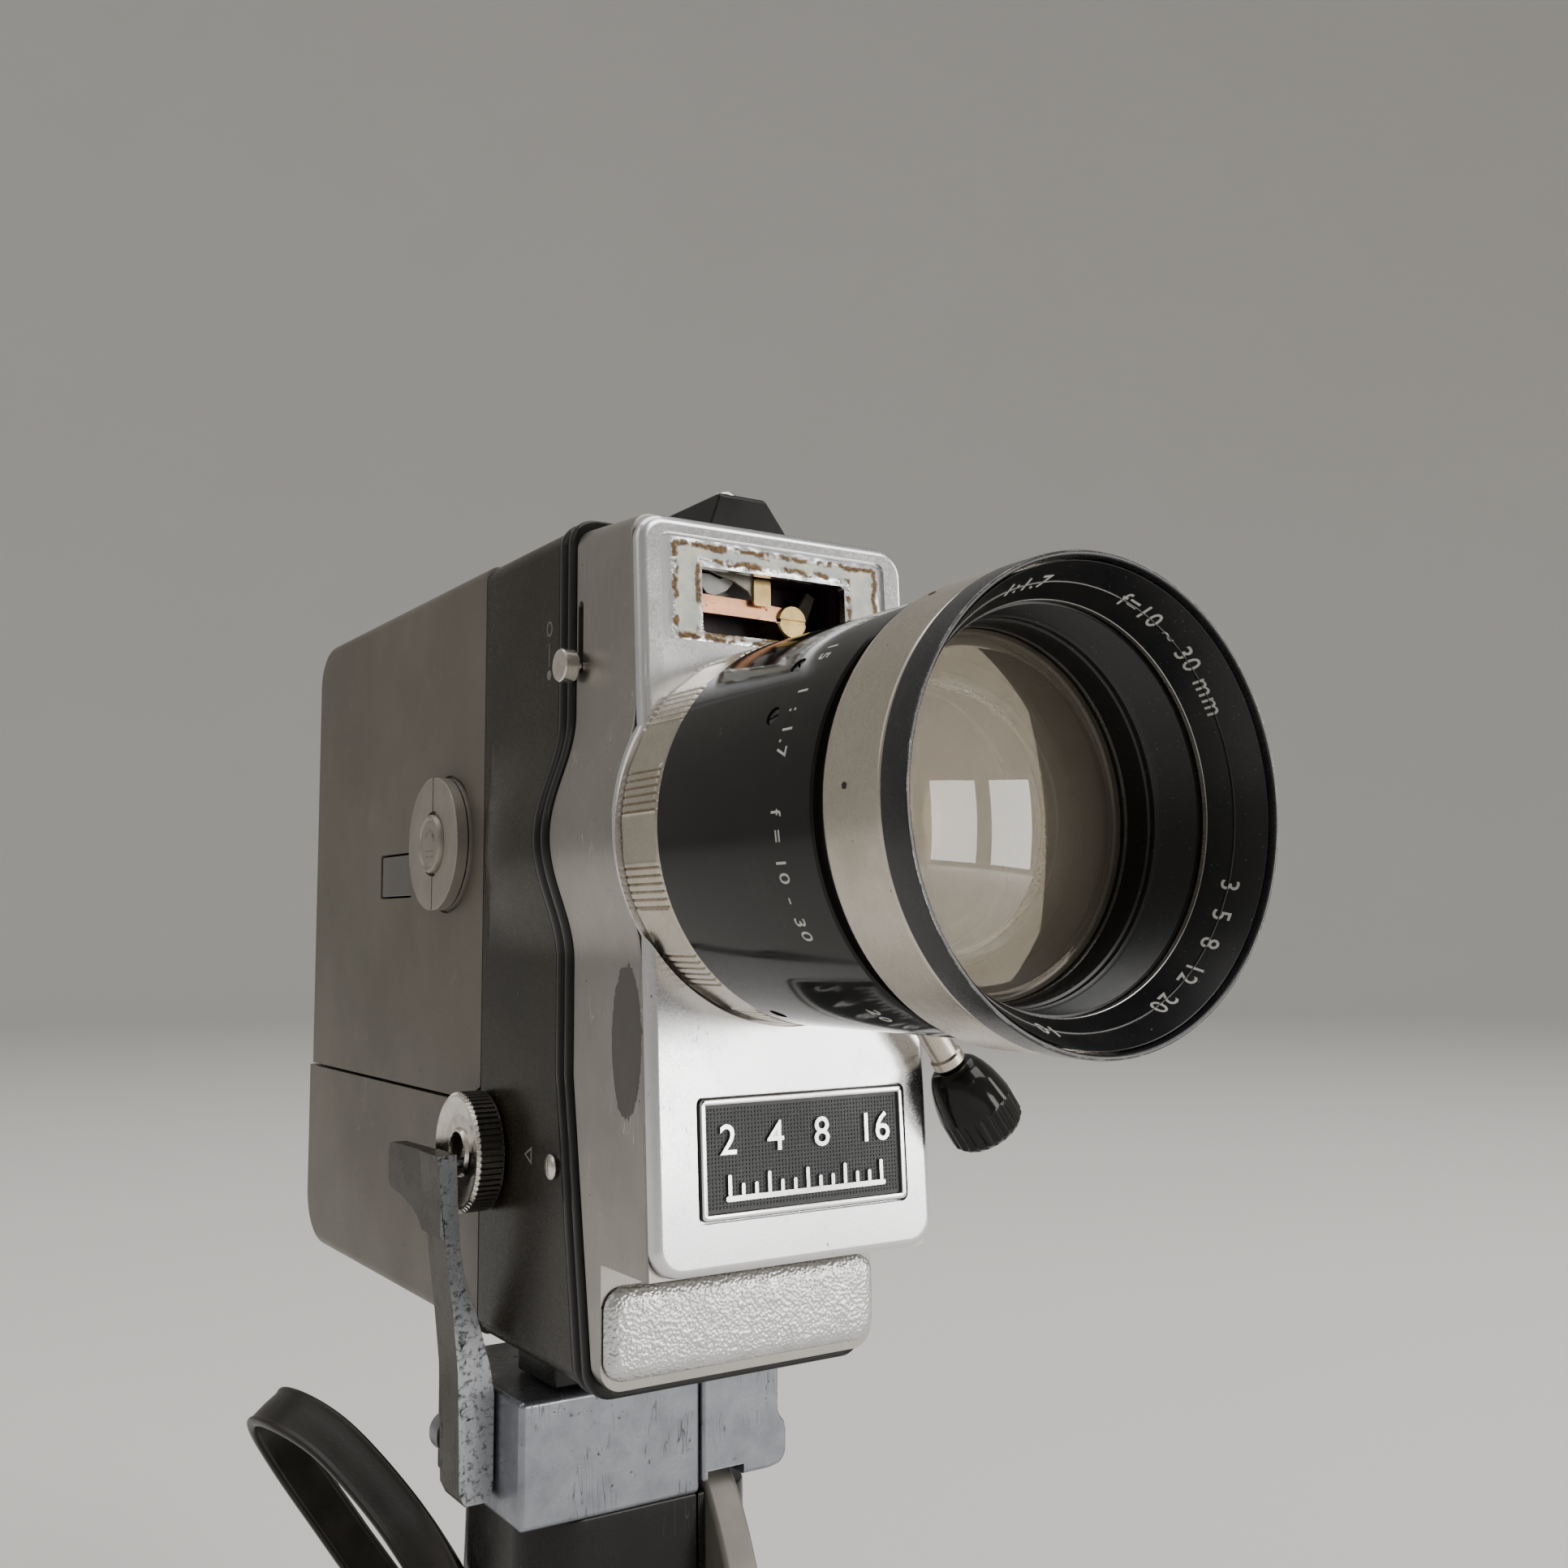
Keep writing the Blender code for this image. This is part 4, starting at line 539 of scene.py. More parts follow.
def carve(piece, shape, how="DIFFERENCE"):
    tool = rough("tool", shape)
    step = piece.modifiers.new("carve", "BOOLEAN")
    step.operation = how
    step.solver = "EXACT"
    step.object = tool
    settle(piece)
    bpy.data.objects.remove(tool)
    return piece


def finishPiece(piece, finish, body="root", covers=(), edge=0.0, angle=40):
    if edge:
        roundEdges(piece, edge, 2, angle)
        settle(piece)
    piece.data.shade_smooth()
    piece.data.set_sharp_from_angle(angle=math.radians(angle))
    evened = piece.modifiers.new("evened", "WEIGHTED_NORMAL")
    evened.keep_sharp = True
    piece.data.materials.clear()
    piece.data.materials.append(finishes[finish])
    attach(piece, body)
    if covers:
        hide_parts(*covers)
    return piece


def makePiece(name, shape, finish, body="root", covers=(), edge=0.0, angle=40):
    return finishPiece(rough(name, shape), finish, body, covers, edge, angle)


# ---- wrist strap: a flat strap from the grip's left side, round and back to the grip's heel
strap = {"width": 8.5, "thickness": 2.2, "length": 0.184,
         "route": [(-0.0232, 0.0020, 0.0680), (-0.0246, 0.0110, 0.0740), (-0.0290, 0.0245, 0.0835),
                   (-0.0355, 0.0390, 0.0925), (-0.0410, 0.0510, 0.0960), (-0.0415, 0.0630, 0.0930),
                   (-0.0355, 0.0675, 0.0825), (-0.0250, 0.0640, 0.0660), (-0.0140, 0.0540, 0.0480),
                   (-0.0060, 0.0400, 0.0280), (-0.0020, 0.0280, 0.0130), (0.0000, 0.0209, 0.0080)],
         "widthRuns": ((0.0, (0, -0.55, 0.83)), (0.16, (0.8, 0.12, 0.59)), (0.6, (0.8, 0.12, 0.59)),
                       (0.95, (1, 0, 0)))}


def curveThrough(points, perSpan):
    knots = [Vector(p) for p in points]
    knots = [2 * knots[0] - knots[1]] + knots + [2 * knots[-1] - knots[-2]]
    path = []
    for a, b, c, d in zip(knots, knots[1:], knots[2:], knots[3:]):
        for i in range(perSpan):
            t = i / perSpan
            path.append(0.5 * (2 * b + (c - a) * t + (2 * a - 5 * b + 4 * c - d) * t * t
                               + (3 * b - a - 3 * c + d) * t**3))
    return path + [knots[-2]]


def strapSide(share):
    for (start, before), (end, after) in zip(strap["widthRuns"], strap["widthRuns"][1:]):
        if share <= end:
            return Vector(before).lerp(Vector(after), max(share - start, 0) / (end - start))
    return Vector(strap["widthRuns"][-1][1])


def makeStrap():
    path = curveThrough(strap["route"], 9)
    half, thick = strap["width"] / 2, strap["thickness"] / 2
    bead = 0.55    # the folded edge is a little thicker than the middle
    upper = [(half, 0.0), (half * 0.985, thick * bead), (half * 0.93, thick * 0.9), (half * 0.84, thick),
             (half * 0.74, thick * 0.86), (half * 0.66, thick * 0.78), (half * 0.3, thick * 0.84), (0, thick * 0.88)]
    section = upper + [(-a, b) for a, b in reversed(upper[:-1])]
    section += [(a, -b) for a, b in reversed(section[1:-1])]
    rings = []
    for i, point in enumerate(path):
        along = (path[min(i + 1, len(path) - 1)] - path[max(i - 1, 0)]).normalized()
        across = strapSide(i / (len(path) - 1))
        across = (across - along * across.dot(along)).normalized()
        out = along.cross(across)
        middle = (point - lensAt) / mm
        rings.append([tuple(middle + across * a + out * b) for a, b in section])
    piece = makePiece("wristStrap", loft(rings), "strap_black", "root", ["wrist_strap"], angle=60)
    print("strap length", sum((b - a).length for a, b in zip(path, path[1:])))


makeStrap()


# ---- the body's outline
body = {"half": 24.0, "top": 49.8, "bottom": -82.0, "back": 157.5, "corner": 3.5, "swell": 4.3, "swellReach": 19.0,
        "seamLean": 0.16, "leanFrom": -36.0, "lean": 0.055, "plateFront": -1.6, "plateThick": 2.0, "wall": 1.8}


def swellAt(z, height):
    if abs(z) >= body["swellReach"]:
        return 0.0
    return height * math.cos(math.pi * z / (2 * body["swellReach"])) ** 2


def bodyRing(y, top, bottom, inset, height, steps=8):
    half = body["half"] - inset
    radius = max(body["corner"] - inset, 0.8)
    high, low = top - inset, bottom + inset
    levels = [body["swellReach"] * (1 - i / 20) for i in range(41)] + [-30.0, -34.0, body["leanFrom"], -38.0, -44.0]
    points = arcPoints(half - radius, high - radius, radius, 0, 90, steps)
    points += arcPoints(-half + radius, high - radius, radius, 90, 180, steps)
    points += [(-half - swellAt(z, height), z) for z in levels]
    points += arcPoints(-half + radius, low + radius, radius, 180, 270, steps)
    points += arcPoints(half - radius, low + radius, radius, 270, 360, steps)
    points += [(half + swellAt(z, height), z) for z in reversed(levels)]
    return [(x, y(z) if callable(y) else y, z) for x, z in points]


# the seam's depth at a height: it leans forward below the lens
def seamAt(y):
    return lambda z: y - body["seamLean"] * max(body["leanFrom"] - z, 0.0)


def plateBack(z):
    return body["plateFront"] + body["plateThick"] + body["lean"] * z


# ---- front housing: the satin shell between the plate and the gasket
housing = {"top": 47.0, "bottom": -80.5, "back": 21.2, "ledgeY": 9.5, "ledgeTop": -62.6, "gap": 0.3, "lensHole": 20.8}


def makeHousing():
    gap, wall = housing["gap"], body["wall"]

    def front(z):
        return plateBack(z) + gap

    rings = [bodyRing(front, housing["top"], housing["bottom"], 0.25, body["swell"]),
             bodyRing(lambda z: front(z) + 0.25, housing["top"] + 0.03, housing["bottom"], 0, body["swell"])]
    for i in range(1, 7):
        share = i / 6
        top = housing["top"] + (body["top"] - 1.4 - housing["top"]) * share
        rings.append(bodyRing(lambda z: front(z) * (1 - share) + seamAt(housing["back"])(z) * share, top,
                              housing["bottom"], 0, body["swell"]))
    piece = rough("frontHousing", loft(rings))
    inside = [bodyRing(lambda z: front(z) + wall, housing["top"], housing["bottom"], wall, body["swell"]),
              bodyRing(seamAt(housing["back"] + 1), body["top"] - 1.4, housing["bottom"], wall, body["swell"])]
    carve(piece, loft(inside))
    carve(piece, block(-40, 40, -20, housing["ledgeY"] + wall + gap, -90, housing["ledgeTop"] + gap))
    cheek = roundedRect(-22.9, 22.9, housing["bottom"] + wall, housing["ledgeTop"] + wall, (1,) * 4, 3)
    carve(piece, slab("Y", cheek, housing["ledgeY"] + wall + gap, housing["ledgeY"] + 2 * wall + gap), "UNION")
    carve(piece, block(-22.4, 22.4, 1.5, housing["ledgeY"] + 2 * wall, housing["ledgeTop"] + gap,
                       housing["ledgeTop"] + gap + wall), "UNION")
    carve(piece, rod("Y", housing["lensHole"], -10, 12, steps=96))
    carve(piece, block(-15.4, 14.4, -6, 9, 27.4, 41.6))
    slot = slider
    outline = roundedRect(slot["slotY"] - 0.9, slot["slotY"] + 0.9, slot["low"] - 1.4,
                          slot["low"] + slot["travel"] + 1.4, (0.88,) * 4, 6)
    carve(piece, slab("X", outline, -26, -20))
    finishPiece(piece, "satin_aluminium", covers=["front_housing"], edge=0.12, angle=50)


slider = {"slotY": 19.9, "low": 26.3, "travel": 8.8}
makeHousing()
print("front housing made")


# ---- front plate: a leaning chrome cap with the pane's seat, the nameplate's seat and the lens's hole
plate = {"low": -62.0, "high": 46.5, "corner": 4.0, "ear": 28.3, "roundIn": 1.4, "roundDeep": 1.3,
         "pane": (-20.5, 20.0, 27.9, 44.0), "paneDeep": 0.6, "opening": (-13.4, 12.5, 29.5, 39.5),
         "badge": (-17.0, 19.4, -55.0, -37.5), "badgeDeep": 1.1, "lensSeat": 28.4, "lensHole": 20.8}


def plateOutline(inset):
    ear, half = plate["ear"] - inset, body["half"] - inset
    cross = math.degrees(math.acos(half / ear))
    right = arcPoints(0, 0, ear, -cross, cross, 28)
    radius = plate["corner"] - inset * 0.6
    low, high = plate["low"] + inset, plate["high"] - inset
    points = arcPoints(half - radius, low + radius, radius, 270, 360, 10) + right
    points += arcPoints(half - radius, high - radius, radius, 0, 90, 10)
    points += arcPoints(-half + radius, high - radius, radius, 90, 180, 10)
    points += [(-x, z) for x, z in reversed(right)]
    points += arcPoints(-half + radius, low + radius, radius, 180, 270, 10)
    return points


# rings of an outline on the plate's slope: each step is (inset, depth in front of the plate's back)
def leaning(outlineAt, steps):
    return [[(x, plateBack(z) - depth, z) for x, z in outlineAt(inset)] for inset, depth in steps]


def makeFrontPlate():
    thick, inset, deep = body["plateThick"], plate["roundIn"], plate["roundDeep"]
    steps = [(0, 0), (0, thick - deep)]
    for i in range(1, 9):
        t = math.pi / 2 * i / 8
        steps.append((inset * (1 - math.cos(t)), thick - deep + deep * math.sin(t)))
    piece = rough("frontPlate", loft(leaning(plateOutline, steps)))
    carve(piece, rod("Y", plate["lensSeat"], -20, -0.5, steps=160))
    carve(piece, rod("Y", plate["lensHole"], -10, 12, steps=96))
    x0, x1, z0, z1 = plate["opening"]
    carve(piece, slab("Y", roundedRect(x0, x1, z0, z1, (0.8,) * 4, 5), -6, 9))
    carve(piece, loft(leaning(lambda inset: roundedRect(*plate["pane"], (1.5,) * 4, 8),
                              [(0, 9), (0, thick - plate["paneDeep"])])))
    carve(piece, loft(leaning(lambda inset: roundedRect(*plate["badge"], (1.2,) * 4, 6),
                              [(0, 9), (0, thick - plate["badgeDeep"])])))
    finishPiece(piece, "satin_chrome", covers=["front_plate"], edge=0.14, angle=50)


makeFrontPlate()
glue = {"wander": 3.0, "stray": 2.6, "rims": (((-17.9, 28.7), (18.4, 42.6), 0.55),
                                              ((-13.9, 29.6), (13.4, 40.6), 0.55)), "clean": (0.80, 0.81, 0.84),
        "haze": (0.50, 0.53, 0.53), "film": (0.66, 0.66, 0.55), "glue": (0.085, 0.040, 0.010),
        "amber": (0.26, 0.15, 0.045)}
makeSeatFinish("pane_seat", glue)


# the floor of the pane's seat, with old glue standing on it
def makePaneSeat():
    x0, x1, z0, z1 = plate["pane"]
    across, up = 150, 60
    shape = bmesh.new()
    rows = []
    for j in range(up + 1):
        z = z0 + 0.25 + (z1 - z0 - 0.5) * j / up
        row = []
        for i in range(across + 1):
            x = x0 + 0.25 + (x1 - x0 - 0.5) * i / across
            lump = noise.fractal(Vector((x * 0.45, 3.0, z * 0.45)), 0.8, 2.0, 4) * 0.5 + 0.5
            rim = 0.0
            for low, high, width in glue["rims"]:
                reach = abs(max(max(low[0] - x, x - high[0]), max(low[1] - z, z - high[1])))
                rim = max(rim, 1 - reach / (width * 2.2))
            row.append(shape.verts.new((x, plateBack(z) - (body["plateThick"] - plate["paneDeep"]) - 0.04
                                        - 0.22 * max(rim, 0) * max(lump, 0), z)))
        rows.append(row)
    a0, a1, b0, b1 = plate["opening"]
    for low, high in zip(rows, rows[1:]):
        for i in range(across):
            corners = (low[i], low[i + 1], high[i + 1], high[i])
            inOpening = all(a0 - 0.1 < v.co.x < a1 + 0.1 and b0 - 0.1 < v.co.z < b1 + 0.1 for v in corners)
            if not inOpening:
                shape.faces.new(corners)
    for vert in [v for v in shape.verts if not v.link_faces]:
        shape.verts.remove(vert)
    for vert in shape.verts:    # the edge of the opening is straight
        x, z = vert.co.x, vert.co.z
        if a0 - 0.3 < x < a1 + 0.3 and b0 - 0.3 < z < b1 + 0.3:
            nearest = min(((abs(x - a0), a0, 0), (abs(x - a1), a1, 0), (abs(z - b0), b0, 2), (abs(z - b1), b1, 2)))
            vert.co[nearest[2]] = nearest[1]
    piece = rough("paneSeat", shape)
    solid = piece.modifiers.new("solid", "SOLIDIFY")
    solid.thickness = 0.03 * mm
    solid.offset = 0
    settle(piece)
    finishPiece(piece, "pane_seat", angle=60)


makePaneSeat()
print("front plate made")


# ---- inside the window: the light meter's parts, with no pane in front of them
windowParts = {"leafRight": 4.0, "leafTop": 36.9, "leafLow": 33.9, "post": (5.8, 33.9), "postRadius": 2.7}


def makeWindowParts():
    low, high = nodeBox("window_tray")
    piece = rough("windowTray", block(low.x, high.x, low.y, high.y, low.z, high.z))
    carve(piece, block(low.x + 0.8, high.x - 0.8, low.y - 3, high.y - 0.8, low.z + 0.8, high.z - 0.8))
    finishPiece(piece, "dark_tray", covers=["window_tray"], edge=0.1)
    w = windowParts
    outline = [(low.x + 1.0, w["leafLow"]), (-2.0, w["leafLow"] - 0.1), (w["leafRight"], w["leafLow"] - 0.2),
               (w["leafRight"] + 0.2, w["leafTop"] - 0.8), (-2.0, w["leafTop"] - 0.3), (low.x + 1.0, w["leafTop"])]
    makePiece("copperLeaf", slab("Y", outline, 6.2, 6.6), "copper", edge=0.1)
    x, z = w["post"]
    post = rough("brassPost", rod("Y", w["postRadius"], 5.6, 12.3, (x, z), 48, 0.25))
    carve(post, block(x - 4, x + 4, 5.0, 6.2, z - 0.35, z + 0.35))
    finishPiece(post, "brass", edge=0.08)
    scaleEdge = [(low.x + 1.0, 38.4), (-9.6, 38.0), (-9.0, 37.2), (-7.6, 36.9), (-5.4, 37.9), (-4.2, 39.2),
                 (-5.0, 40.2), (-6.6, 39.6), (-8.4, 40.2), (low.x + 1.0, 40.2)]
    makePiece("whiteScale", slab("Y", scaleEdge, 7.2, 7.5), "white_paint", edge=0.06)
    bracket = [(-9.5, 40.3), (-2.0, 40.3), (0.2, 38.6), (0.6, 36.4), (-1.4, 35.9), (-2.6, 37.8), (-5.0, 39.0)]
    makePiece("meterBracket", slab("Y", bracket, 5.4, 6.0), "lever_grey", edge=0.12)
    makePiece("meterStop", slab("Y", roundedRect(-1.9, 1.3, 35.6, 39.9, (0.5,) * 4, 4), 4.9, 5.4), "brass",
              edge=0.15)
    arm = [(9.8, 32.6), (12.4, 39.0), (11.0, 39.8), (7.9, 35.0), (-6.0, 38.6), (-6.4, 37.4), (7.6, 32.7)]
    lever = rough("meterLever", slab("Y", arm, 9.2, 10.2))
    carve(lever, rod("Y", 1.3, 9.0, 13.6, (9.0, 34.0), 32), "UNION")
    finishPiece(lever, "lever_grey", "meter_lever", ["meter_lever"], edge=0.1)
    makePiece("meterScrew", merged(rod("Y", 1.5, 10.8, 11.6, (-10.6, 31.6), 32, 0.2),
                                   rod("Y", 1.2, 10.8, 11.8, (11.2, 30.6), 32, 0.2)), "brass")


makeWindowParts()

# ---- nameplate: a black slab with a raised frame, a fine grid and an exposure scale with plain numbers
badge = {"box": (-16.7, 19.1, -54.7, -37.8), "corner": 0.9, "front": 2.4, "panel": 1.95, "frame": 1.0,
         "gridStep": 0.56, "gridCell": 0.36}


# the mesh of a line of plain characters, in millimetres, lying in x and y and centred on x
def wordMesh(words, size, thick, spacing=1.0):
    text = bpy.data.curves.new("words", "FONT")
    text.body = words
    text.size = size
    text.extrude = thick / 2
    text.space_character = spacing
    text.resolution_u = 3
    text.offset = size * 0.004
    holder = bpy.data.objects.new("words", text)
    bpy.context.scene.collection.objects.link(holder)
    graph = bpy.context.evaluated_depsgraph_get()
    mesh = bpy.data.meshes.new_from_object(holder.evaluated_get(graph))
    bpy.data.objects.remove(holder)
    shape = bmesh.new()
    shape.from_mesh(mesh)
    bmesh.ops.remove_doubles(shape, verts=shape.verts, dist=0.001)
    bmesh.ops.triangulate(shape, faces=shape.faces)
    low = min(v.co.x for v in shape.verts)
    high = max(v.co.x for v in shape.verts)
    bmesh.ops.translate(shape, verts=shape.verts, vec=(-(low + high) / 2, 0, 0))
    return shape


# stands a flat shape on the plate's slope, its front lift in front of the plate's back
def onPlate(shape, x, z, lift):
    for vert in shape.verts:
        up = z + vert.co.y
        vert.co = Vector((x + vert.co.x, plateBack(up) - lift - vert.co.z, up))
    return shape


def makeBadge():
    x0, x1, z0, z1 = badge["box"]
    radius = badge["corner"]

    def outline(inset):
        return roundedRect(x0 + inset, x1 - inset, z0 + inset, z1 - inset, (max(radius - inset, 0.15),) * 4, 6)

    front, panel, wide = badge["front"], badge["panel"], badge["frame"]
    makePiece("badgeSlab", loft(leaning(outline,
                                        [(0, 1.2), (0, front - 0.35), (0.1, front - 0.28), (0.3, front - 0.28),
                                         (0.3, 1.25)]), True), "badge_black", covers=["nameplate"])
    frameSteps = [(0.14, front - 0.4), (0.14, front - 0.12), (0.26, front), (wide - 0.12, front),
                  (wide, front - 0.12), (wide, 1.3)]
    makePiece("badgeFrame", loft(leaning(outline, frameSteps), True), "badge_chrome", angle=60)
    makePiece("badgePanel", loft(leaning(outline, [(wide + 0.02, 1.3), (wide + 0.02, panel - 0.12)])), "badge_black")
    step, cell = badge["gridStep"], badge["gridCell"] / 2
    grid = bmesh.new()
    across, up = int((x1 - x0 - 2 * wide - 0.4) / step), int((z1 - z0 - 2 * wide - 0.4) / step)
    left, low = (x0 + x1 - (across - 1) * step) / 2, (z0 + z1 - (up - 1) * step) / 2
    for i in range(across):
        for j in range(up):
            x, z = left + i * step, low + j * step
            base = [grid.verts.new((x + a * cell, plateBack(z + b * cell) - panel + 0.13, z + b * cell)) for a,
                    b in ((-1, -1), (1, -1), (1, 1), (-1, 1))]
            peak = [grid.verts.new((x + a * cell * 0.7, plateBack(z + b * cell * 0.7) - panel, z + b * cell * 0.7))
                    for a, b in ((-1, -1), (1, -1), (1, 1), (-1, 1))]
            grid.faces.new(peak)
            grid.faces.new(base)
            for k in range(4):
                grid.faces.new((base[k], base[(k + 1) % 4], peak[(k + 1) % 4], peak[k]))
    makePiece("badgeGrid", grid, "badge_black")
    signs = []
    middle = (x0 + x1) / 2
    signs.append(onPlate(wordMesh("2   4   8   16", 6.0, 0.5, 1.0), middle + 0.2, z1 - 7.9, panel + 0.1))
    for i in range(13):    # the scale under the numbers, long and short strokes
        tall = 3.0 if i % 3 == 0 else 1.7
        x = middle - 13.2 + 26.4 * i / 12
        stroke = slab("Z", roundedRect(-0.28, 0.28, 0, tall, (0.25,) * 4, 4), -0.25, 0.25)
        signs.append(onPlate(stroke, x, z0 + 3.2, panel + 0.1))
    bar = slab("Z", roundedRect(-13.9, 13.9, 0, 0.75, (0.35,) * 4, 4), -0.25, 0.25)
    signs.append(onPlate(bar, middle, z0 + 2.5, panel + 0.1))
    makePiece("badgeScale", merged(*signs), "badge_chrome", angle=50)


makeBadge()
print("nameplate made")

# ---- lower trim: a hammered chrome cushion under the plate
trim = {"box": (-23.7, 23.7, -79.0, -65.6), "corner": 3.2, "roundIn": 2.6, "roundDeep": 1.55}


def makeTrim():
    x0, x1, z0, z1 = trim["box"]
    low, high = nodeBox("lower_trim")

    def outline(inset):
        return roundedRect(x0 + inset, x1 - inset, z0 + inset, z1 - inset,
                           (max(trim["corner"] - inset * 0.7, 0.3),) * 4, 10)

    rings = []
    for i in range(11):
        t = math.pi / 2 * i / 10
        rings.append((trim["roundIn"] * (1 - math.sin(t)), low.y + 0.12 + trim["roundDeep"] * (1 - math.cos(t))))
    inner = [(trim["roundIn"] + 1.2, low.y + 0.03), (trim["roundIn"] + 2.4, low.y)]
    shape = loft([[putPoint("Y", a, b, along) for a, b in outline(far)] for far,
                  along in list(reversed(inner)) + rings + [(0, high.y)]])
    makePiece("lowerTrim", shape, "hammered_chrome", covers=["lower_trim"], angle=60)


makeTrim()

# ---- gasket: two glossy ridges round the whole body
gasket = {"front": 21.5, "back": 27.4, "proud": 0.5, "groove": 0.55}


def makeGasket():
    front, back, proud = gasket["front"], gasket["back"], gasket["proud"]
    profile = []
    for i in range(25):
        share = i / 24
        bump = abs(math.sin(2 * math.pi * share)) ** 0.6
        profile.append((front + (back - front) * share, -proud + gasket["groove"] * (1 - bump)))
    outer = [bodyRing(seamAt(y), body["top"], body["bottom"], inset, body["swell"]) for y, inset in profile]
    inner = [bodyRing(seamAt(y), body["top"], body["bottom"], 2.6, body["swell"]) for y in (back, front)]
    makePiece("bodyGasket", loft(outer + inner, True), "gasket_black", covers=["body_gasket"], angle=80)


makeGasket()

# ---- middle band: dark, its side bulges end in a rounded nose
band = {"front": 27.7, "back": 57.7, "noseStart": 35.0, "noseEnd": 54.5, "screw": (28.2, -50.4),
        "dial": (55.0, -50.9)}


def bandSwell(y):
    start, end = band["noseStart"], band["noseEnd"]
    if y <= start:
        return body["swell"]
    return body["swell"] * math.sqrt(max(1 - ((y - start) / (end - start)) ** 2, 0.0))


def makeBand():
    nose = [band["noseStart"] + (band["noseEnd"] - band["noseStart"]) * math.sin(math.pi / 2 * i / 20)
            for i in range(21)]
    stations = [seamAt(band["front"] + 0.12), 30.0] + nose + [band["back"] - 0.12]
    outer = [bodyRing(seamAt(band["front"]), body["top"], body["bottom"], 0.12, body["swell"])]
    outer += [bodyRing(y, body["top"], body["bottom"], 0,
                       body["swell"] if callable(y) else bandSwell(y)) for y in stations]
    outer += [bodyRing(band["back"], body["top"], body["bottom"], 0.12, 0)]
    inner = [bodyRing(y, body["top"], body["bottom"], body["wall"], bandSwell(y)) for y in (band["back"], 54.5, 48.0,
            35.0)]
    inner.append(bodyRing(seamAt(band["front"]), body["top"], body["bottom"], body["wall"], body["swell"]))
    piece = rough("middleBand", loft(outer + inner, True))
    carve(piece, rod("X", 1.1, -26, -20, band["screw"], 32))
    carve(piece, rod("Z", 3.6, -90, -78, (0, 49), 48))
    carve(piece, rod("X", 4.2, -40, 40, band["dial"], 64))
    finishPiece(piece, "band_brown", covers=["middle_band"], angle=35)
    y, z = band["screw"]
    head = [(0, -24.0), (1.75, -24.0), (1.95, -24.35), (1.95, -24.55), (1.5, -24.85), (0.8, -24.98), (0, -25.0)]
    screw = rough("bandScrew", lathe("X", head, (y, z), 48))
    carve(screw, block(-25.4, -24.6, y - 0.28, y + 0.28, z - 3, z + 3))
    finishPiece(screw, "screw_chrome", covers=["band_screw"], edge=0.05)


makeBand()
print("gasket and band made")

# ---- rear shell, film door and battery cover: warm grey shells with a thin seam between them
rear = {"front": 58.0, "back": 157.5, "top": 49.8, "bottom": -82.0, "seam": -43.5, "doorSeam": -18.0, "edge": 2.4,
        "proud": 2.0, "topCorner": 9, "lowCorner": 11, "hinge": (-18.0, 160.5), "window": (94.0, 111.7, -7.8, 0.9)}
lock = {"at": (75.0, 1.5), "radius": 12.0, "face": -26.95, "back": -24.9, "seat": 5.9}
dials = {"at": (55.0, -50.9), "radius": 9.9, "face": 29.4, "teeth": 60, "toothDeep": 0.42, "plunger": (55.0, -52.6)}


# a slab across x whose rounded outer edge runs round the back; x0 and x1 are its faces, rounded where asked
def sideSlab(y0, y1, z0, z1, lowRadius, highRadius, x0, x1, edge, low=True, high=True):
    def outline(inset):
        return roundedRect(y0, y1 - inset, z0 + (inset if lowRadius else 0), z1 - (inset if highRadius else 0),
                           (0, max(lowRadius - inset, 0), max(highRadius - inset, 0), 0), 12)
    rings = []
    arc = [(edge * (1 - math.sin(math.pi / 2 * i / 6)), edge * (1 - math.cos(math.pi / 2 * i / 6))) for i in range(7)]
    rings += [(inset, x0 + rise) for inset, rise in arc] if low else [(0, x0)]
    rings += [(inset, x1 - rise) for inset, rise in reversed(arc)] if high else [(0, x1)]
    return loft([[putPoint("X", a, b, along) for a, b in outline(inset)] for inset, along in rings])


def roundOutline(y0, y1, z0, z1, lowRadius, highRadius):
    return roundedRect(y0, y1, z0, z1, (0, lowRadius, highRadius, 0), 10)


def knuckle(piece, side, low, high):
    y = rear["hinge"][1]
    x = rear["doorSeam"]
    leaf = (x + 1.5, x + 8.0) if side > 0 else (x - 3.4, x - 1.5)
    arm = (x + 1.5, x + 3.2) if side > 0 else (x - 3.2, x - 1.5)
    carve(piece, lathe("Z", [(1.2, low), (2.25, low), (2.4, low + 0.15), (2.4, high - 0.15), (2.25, high),
                             (1.2, high)], (x, y), 40), "UNION")
    carve(piece, block(*leaf, rear["back"] - 1, rear["back"] + 1.2, low, high), "UNION")
    carve(piece, block(*arm, rear["back"] + 0.6, y, low, high), "UNION")


